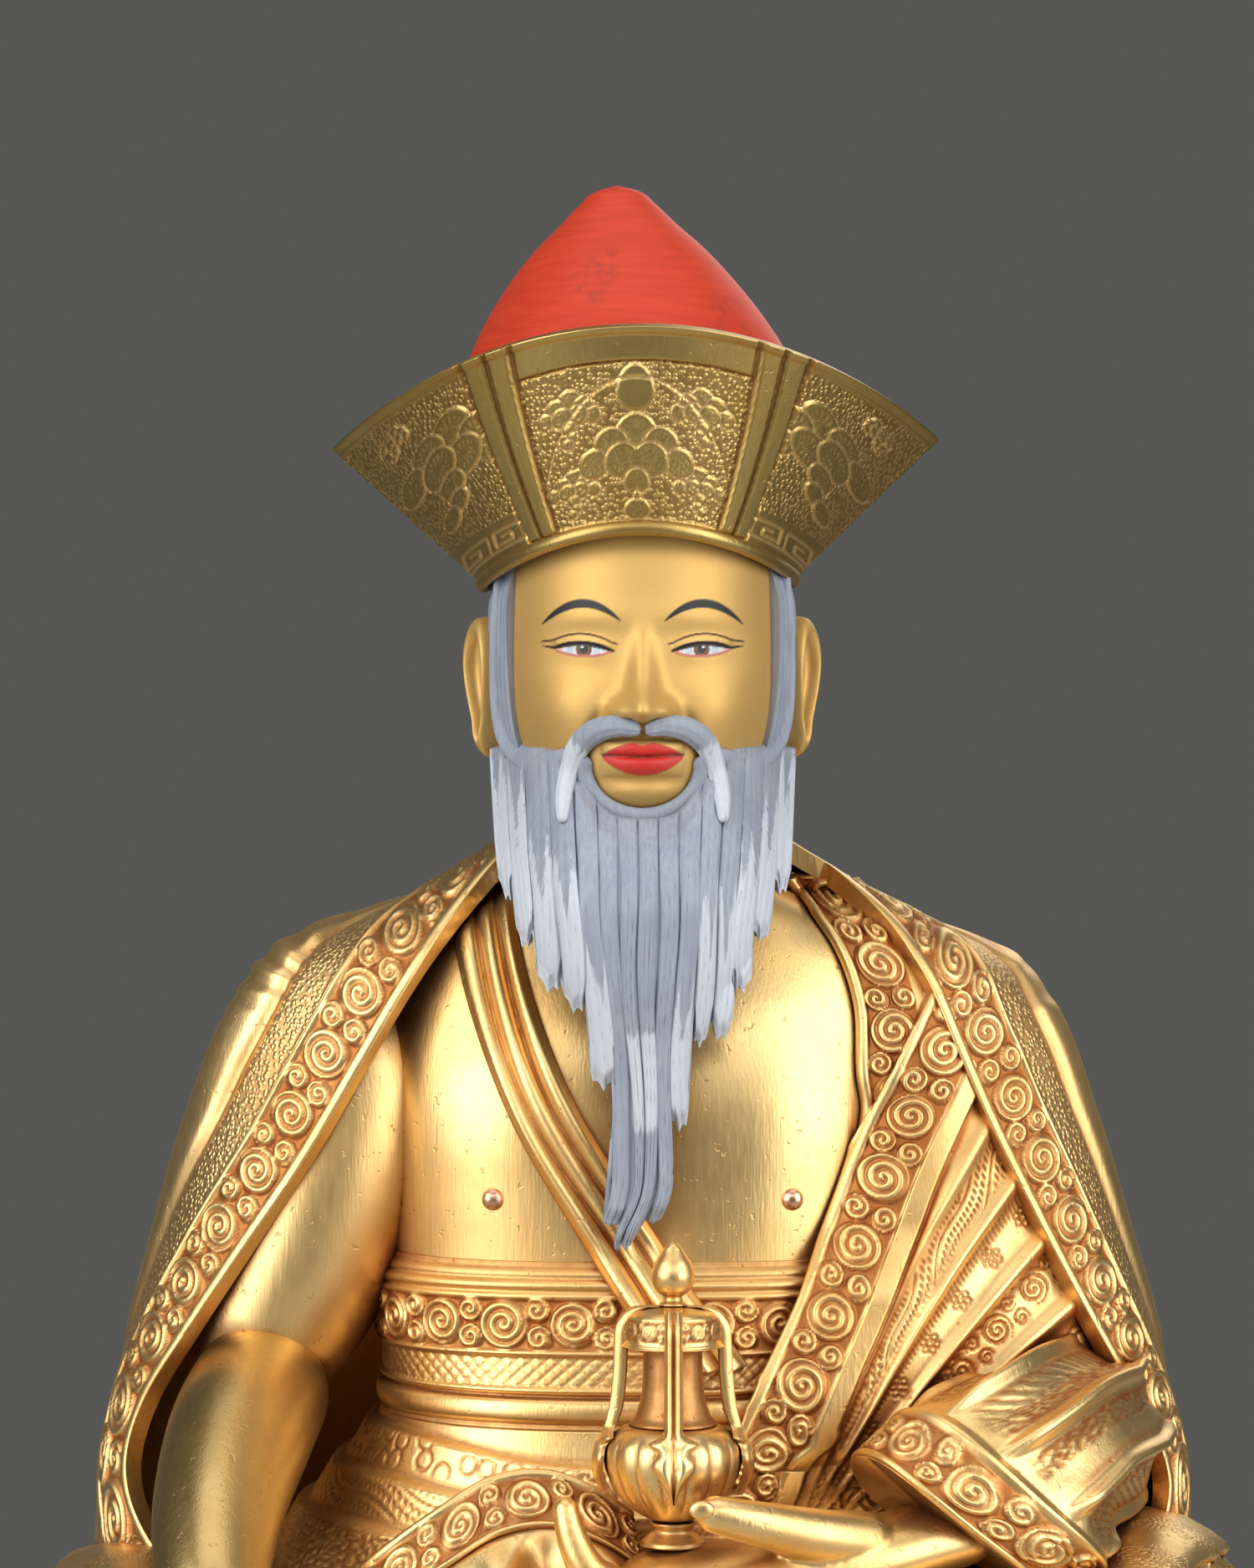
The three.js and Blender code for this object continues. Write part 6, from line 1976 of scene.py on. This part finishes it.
def build_stage(settings):
    """A round floor, five soft area lights, an even backdrop and the camera."""
    turn = np.linspace(0, 2 * np.pi, 96, endpoint=False)
    rim = settings.floor_radius / MM
    rings = [
        stack(r * np.cos(turn), r * np.sin(turn), z + 0 * turn)
        for r, z in ((150, 0), (300, 0), (rim, 0), (rim, -2))
    ]
    floor = tube("floor", np.stack(rings) - ORIGIN - [0, 0, 0.05])
    shader = Shader("floor_paper")
    tone = shader.noise(4, 3)
    color = shader.blend(tone, rgb((0.42, 0.41, 0.39)), rgb((0.46, 0.45, 0.43)))
    floor.data.materials.append(shader.finish(color=color, roughness=0.8))
    world = bpy.data.worlds.new("studio")
    bpy.context.scene.world = world
    world.use_nodes = True
    world.node_tree.nodes["Background"].inputs[0].default_value = rgb(settings.backdrop)
    world.node_tree.nodes["Background"].inputs[1].default_value = 1.0
    power = settings.key_power
    lights = (
        ("key_left", (-0.85, -0.70, 0.55), 0.9, 1.2, power),
        ("key_right", (0.88, -0.62, 0.50), 0.9, 1.2, power * 0.9),
        ("front_high", (0.0, -1.25, 1.0), 1.2, 0.5, power * 0.3),
        ("top", (0.0, -0.1, 1.2), 1.0, 0.8, power * 0.32),
        ("rim", (0.35, 0.95, 0.75), 0.6, 0.6, power * 0.15),
    )
    for name, spot, width, height, watts in lights:
        lamp = bpy.data.lights.new(name, "AREA")
        lamp.shape, lamp.size, lamp.size_y, lamp.energy = "RECTANGLE", width, height, watts
        holder = bpy.data.objects.new(name, lamp)
        holder.location = spot
        holder.rotation_euler = (Vector((0, 0, 0.2)) - Vector(spot)).to_track_quat("-Z", "Y").to_euler()
        bpy.context.scene.collection.objects.link(holder)
    lens = bpy.data.cameras.new("camera")
    lens.sensor_width = 36.0
    lens.lens = lens.sensor_width * settings.distance / settings.framed_height
    camera = bpy.data.objects.new("camera", lens)
    camera.location = (settings.camera_x, AXIS_Y * MM - settings.distance, settings.camera_height)
    camera.rotation_euler = (math.pi / 2, 0, 0)
    bpy.context.scene.collection.objects.link(camera)
    bpy.context.scene.camera = camera
    bpy.context.scene.view_settings.view_transform = "Standard"


# ---- Add-on ----


class FigureSettings(bpy.types.PropertyGroup):
    """The colours, counts and stage sizes that a user would change."""

    pale_gold: bpy.props.FloatVectorProperty(
        name="Pale gold", description="The gilding's lighter tone", subtype="COLOR",
        default=(0.93, 0.655, 0.285),
    )
    deep_gold: bpy.props.FloatVectorProperty(
        name="Deep gold", description="The gilding's warmer tone", subtype="COLOR", default=(0.85, 0.54, 0.20)
    )
    patina: bpy.props.FloatVectorProperty(
        name="Patina", description="Red in the gilding's hollows", subtype="COLOR",
        default=(0.42, 0.155, 0.042),
    )
    skin_gold: bpy.props.FloatVectorProperty(
        name="Face gold", description="The matte gold of face and ears", subtype="COLOR",
        default=(0.72, 0.46, 0.15),
    )
    hair: bpy.props.FloatVectorProperty(
        name="Hair", description="The hair and beard's grey-blue", subtype="COLOR",
        default=(0.26, 0.295, 0.36),
    )
    hair_white: bpy.props.FloatVectorProperty(
        name="Brush strokes", description="The beard's pale strokes", subtype="COLOR",
        default=(0.60, 0.64, 0.70),
    )
    red: bpy.props.FloatVectorProperty(
        name="Red", description="The crown's red paint", subtype="COLOR", default=(0.49, 0.036, 0.012)
    )
    petals: bpy.props.IntProperty(
        name="Petals", description="Lotus petals in each ring of the base", default=24, min=8, max=60
    )
    beads: bpy.props.IntProperty(
        name="Beads", description="Beads under the seat's edge", default=120, min=12, max=200
    )
    key_power: bpy.props.FloatProperty(
        name="Key power", description="Power of the large soft lights, in watts", default=12.5, min=0
    )
    backdrop: bpy.props.FloatVectorProperty(
        name="Backdrop", description="The studio behind the figure", subtype="COLOR",
        default=(0.095, 0.094, 0.09),
    )
    floor_radius: bpy.props.FloatProperty(
        name="Floor radius", description="Radius of the round floor", default=0.45, unit="LENGTH"
    )
    distance: bpy.props.FloatProperty(
        name="Distance", description="Camera to the body's axis", default=0.8, unit="LENGTH"
    )
    framed_height: bpy.props.FloatProperty(
        name="Framed height", description="Height of the view at the axis", default=0.28125, unit="LENGTH"
    )
    camera_height: bpy.props.FloatProperty(
        name="Camera height", description="Height of the camera over the floor", default=0.2397, unit="LENGTH"
    )
    camera_x: bpy.props.FloatProperty(
        name="Camera offset", description="Camera's place to the side", default=-0.0027, unit="LENGTH"
    )


class FIGURE_OT_torso(bpy.types.Operator):
    """Make the chest, its studs and sash, the waist's band and belt, and the lower robe"""

    bl_idname = "figure.torso"
    bl_label = "Torso"

    def execute(self, context):
        build_torso()
        build_studs()
        build_sash()
        build_waist()
        build_skirt()
        return {"FINISHED"}


class FIGURE_OT_arms(bpy.types.Operator):
    """Make the right arm, both hands and the left sleeve"""

    bl_idname = "figure.arms"
    bl_label = "Arms and hands"

    def execute(self, context):
        build_right_arm()
        build_right_hand()
        build_left_hand()
        build_sleeve()
        return {"FINISHED"}


class FIGURE_OT_cloak(bpy.types.Operator):
    """Make the cloak with its scroll borders"""

    bl_idname = "figure.cloak"
    bl_label = "Cloak"

    def execute(self, context):
        build_cloak()
        return {"FINISHED"}


class FIGURE_OT_robe(bpy.types.Operator):
    """Make the robe over the left shoulder, the lap and the hem"""

    bl_idname = "figure.robe"
    bl_label = "Robe and lap"

    def execute(self, context):
        build_robe()
        build_lap()
        build_hem()
        return {"FINISHED"}


class FIGURE_OT_head(bpy.types.Operator):
    """Make the face, the ears and the hair"""

    bl_idname = "figure.head"
    bl_label = "Head"

    def execute(self, context):
        build_head()
        build_ears()
        build_hair()
        return {"FINISHED"}


class FIGURE_OT_beard(bpy.types.Operator):
    """Make the beard and the moustache"""

    bl_idname = "figure.beard"
    bl_label = "Beard"

    def execute(self, context):
        build_beard()
        build_moustache()
        return {"FINISHED"}


class FIGURE_OT_hat(bpy.types.Operator):
    """Make the hat's brim, band and crown"""

    bl_idname = "figure.hat"
    bl_label = "Hat"

    def execute(self, context):
        build_brim()
        build_hat_band()
        build_crown()
        return {"FINISHED"}


class FIGURE_OT_vase(bpy.types.Operator):
    """Make the vase with its four straps"""

    bl_idname = "figure.vase"
    bl_label = "Vase"

    def execute(self, context):
        build_vase()
        return {"FINISHED"}


class FIGURE_OT_base(bpy.types.Operator):
    """Make the lotus base, and finish the plates that keep their shape"""

    bl_idname = "figure.base"
    bl_label = "Lotus base"

    def execute(self, context):
        build_base()
        keep_nodes()
        return {"FINISHED"}


class FIGURE_OT_stage(bpy.types.Operator):
    """Make the floor, the lights and the camera"""

    bl_idname = "figure.stage"
    bl_label = "Stage"

    def execute(self, context):
        build_stage(context.scene.figure_settings)
        return {"FINISHED"}


OPERATORS = (
    FIGURE_OT_torso,
    FIGURE_OT_arms,
    FIGURE_OT_cloak,
    FIGURE_OT_robe,
    FIGURE_OT_head,
    FIGURE_OT_beard,
    FIGURE_OT_hat,
    FIGURE_OT_vase,
    FIGURE_OT_base,
    FIGURE_OT_stage,
)


class FIGURE_PT_panel(bpy.types.Panel):
    """The settings, and a button for each operator"""

    bl_label = "Gilded Figure"
    bl_idname = "FIGURE_PT_panel"
    bl_space_type = "VIEW_3D"
    bl_region_type = "UI"
    bl_category = "Figure"

    def draw(self, context):
        """One line for each setting."""
        for prop in FigureSettings.__annotations__:
            self.layout.prop(context.scene.figure_settings, prop)
        for operator in OPERATORS:
            self.layout.operator(operator.bl_idname)


CLASSES = (FigureSettings, *OPERATORS, FIGURE_PT_panel)


def register():
    """Registers the settings, the operators and the panel, and hangs the settings on the scene."""
    for cls in CLASSES:
        bpy.utils.register_class(cls)
    bpy.types.Scene.figure_settings = bpy.props.PointerProperty(type=FigureSettings)


def unregister():
    """Takes the settings away again, and then the classes in reverse order."""
    del bpy.types.Scene.figure_settings
    for cls in reversed(CLASSES):
        bpy.utils.unregister_class(cls)


def main():
    """Builds every group of pieces in turn, then the stage."""
    register()
    bpy.ops.figure.torso()
    bpy.ops.figure.arms()
    bpy.ops.figure.cloak()
    bpy.ops.figure.robe()
    bpy.ops.figure.head()
    bpy.ops.figure.beard()
    bpy.ops.figure.hat()
    bpy.ops.figure.vase()
    bpy.ops.figure.base()
    bpy.ops.figure.stage()


if __name__ == "__main__":
    main()
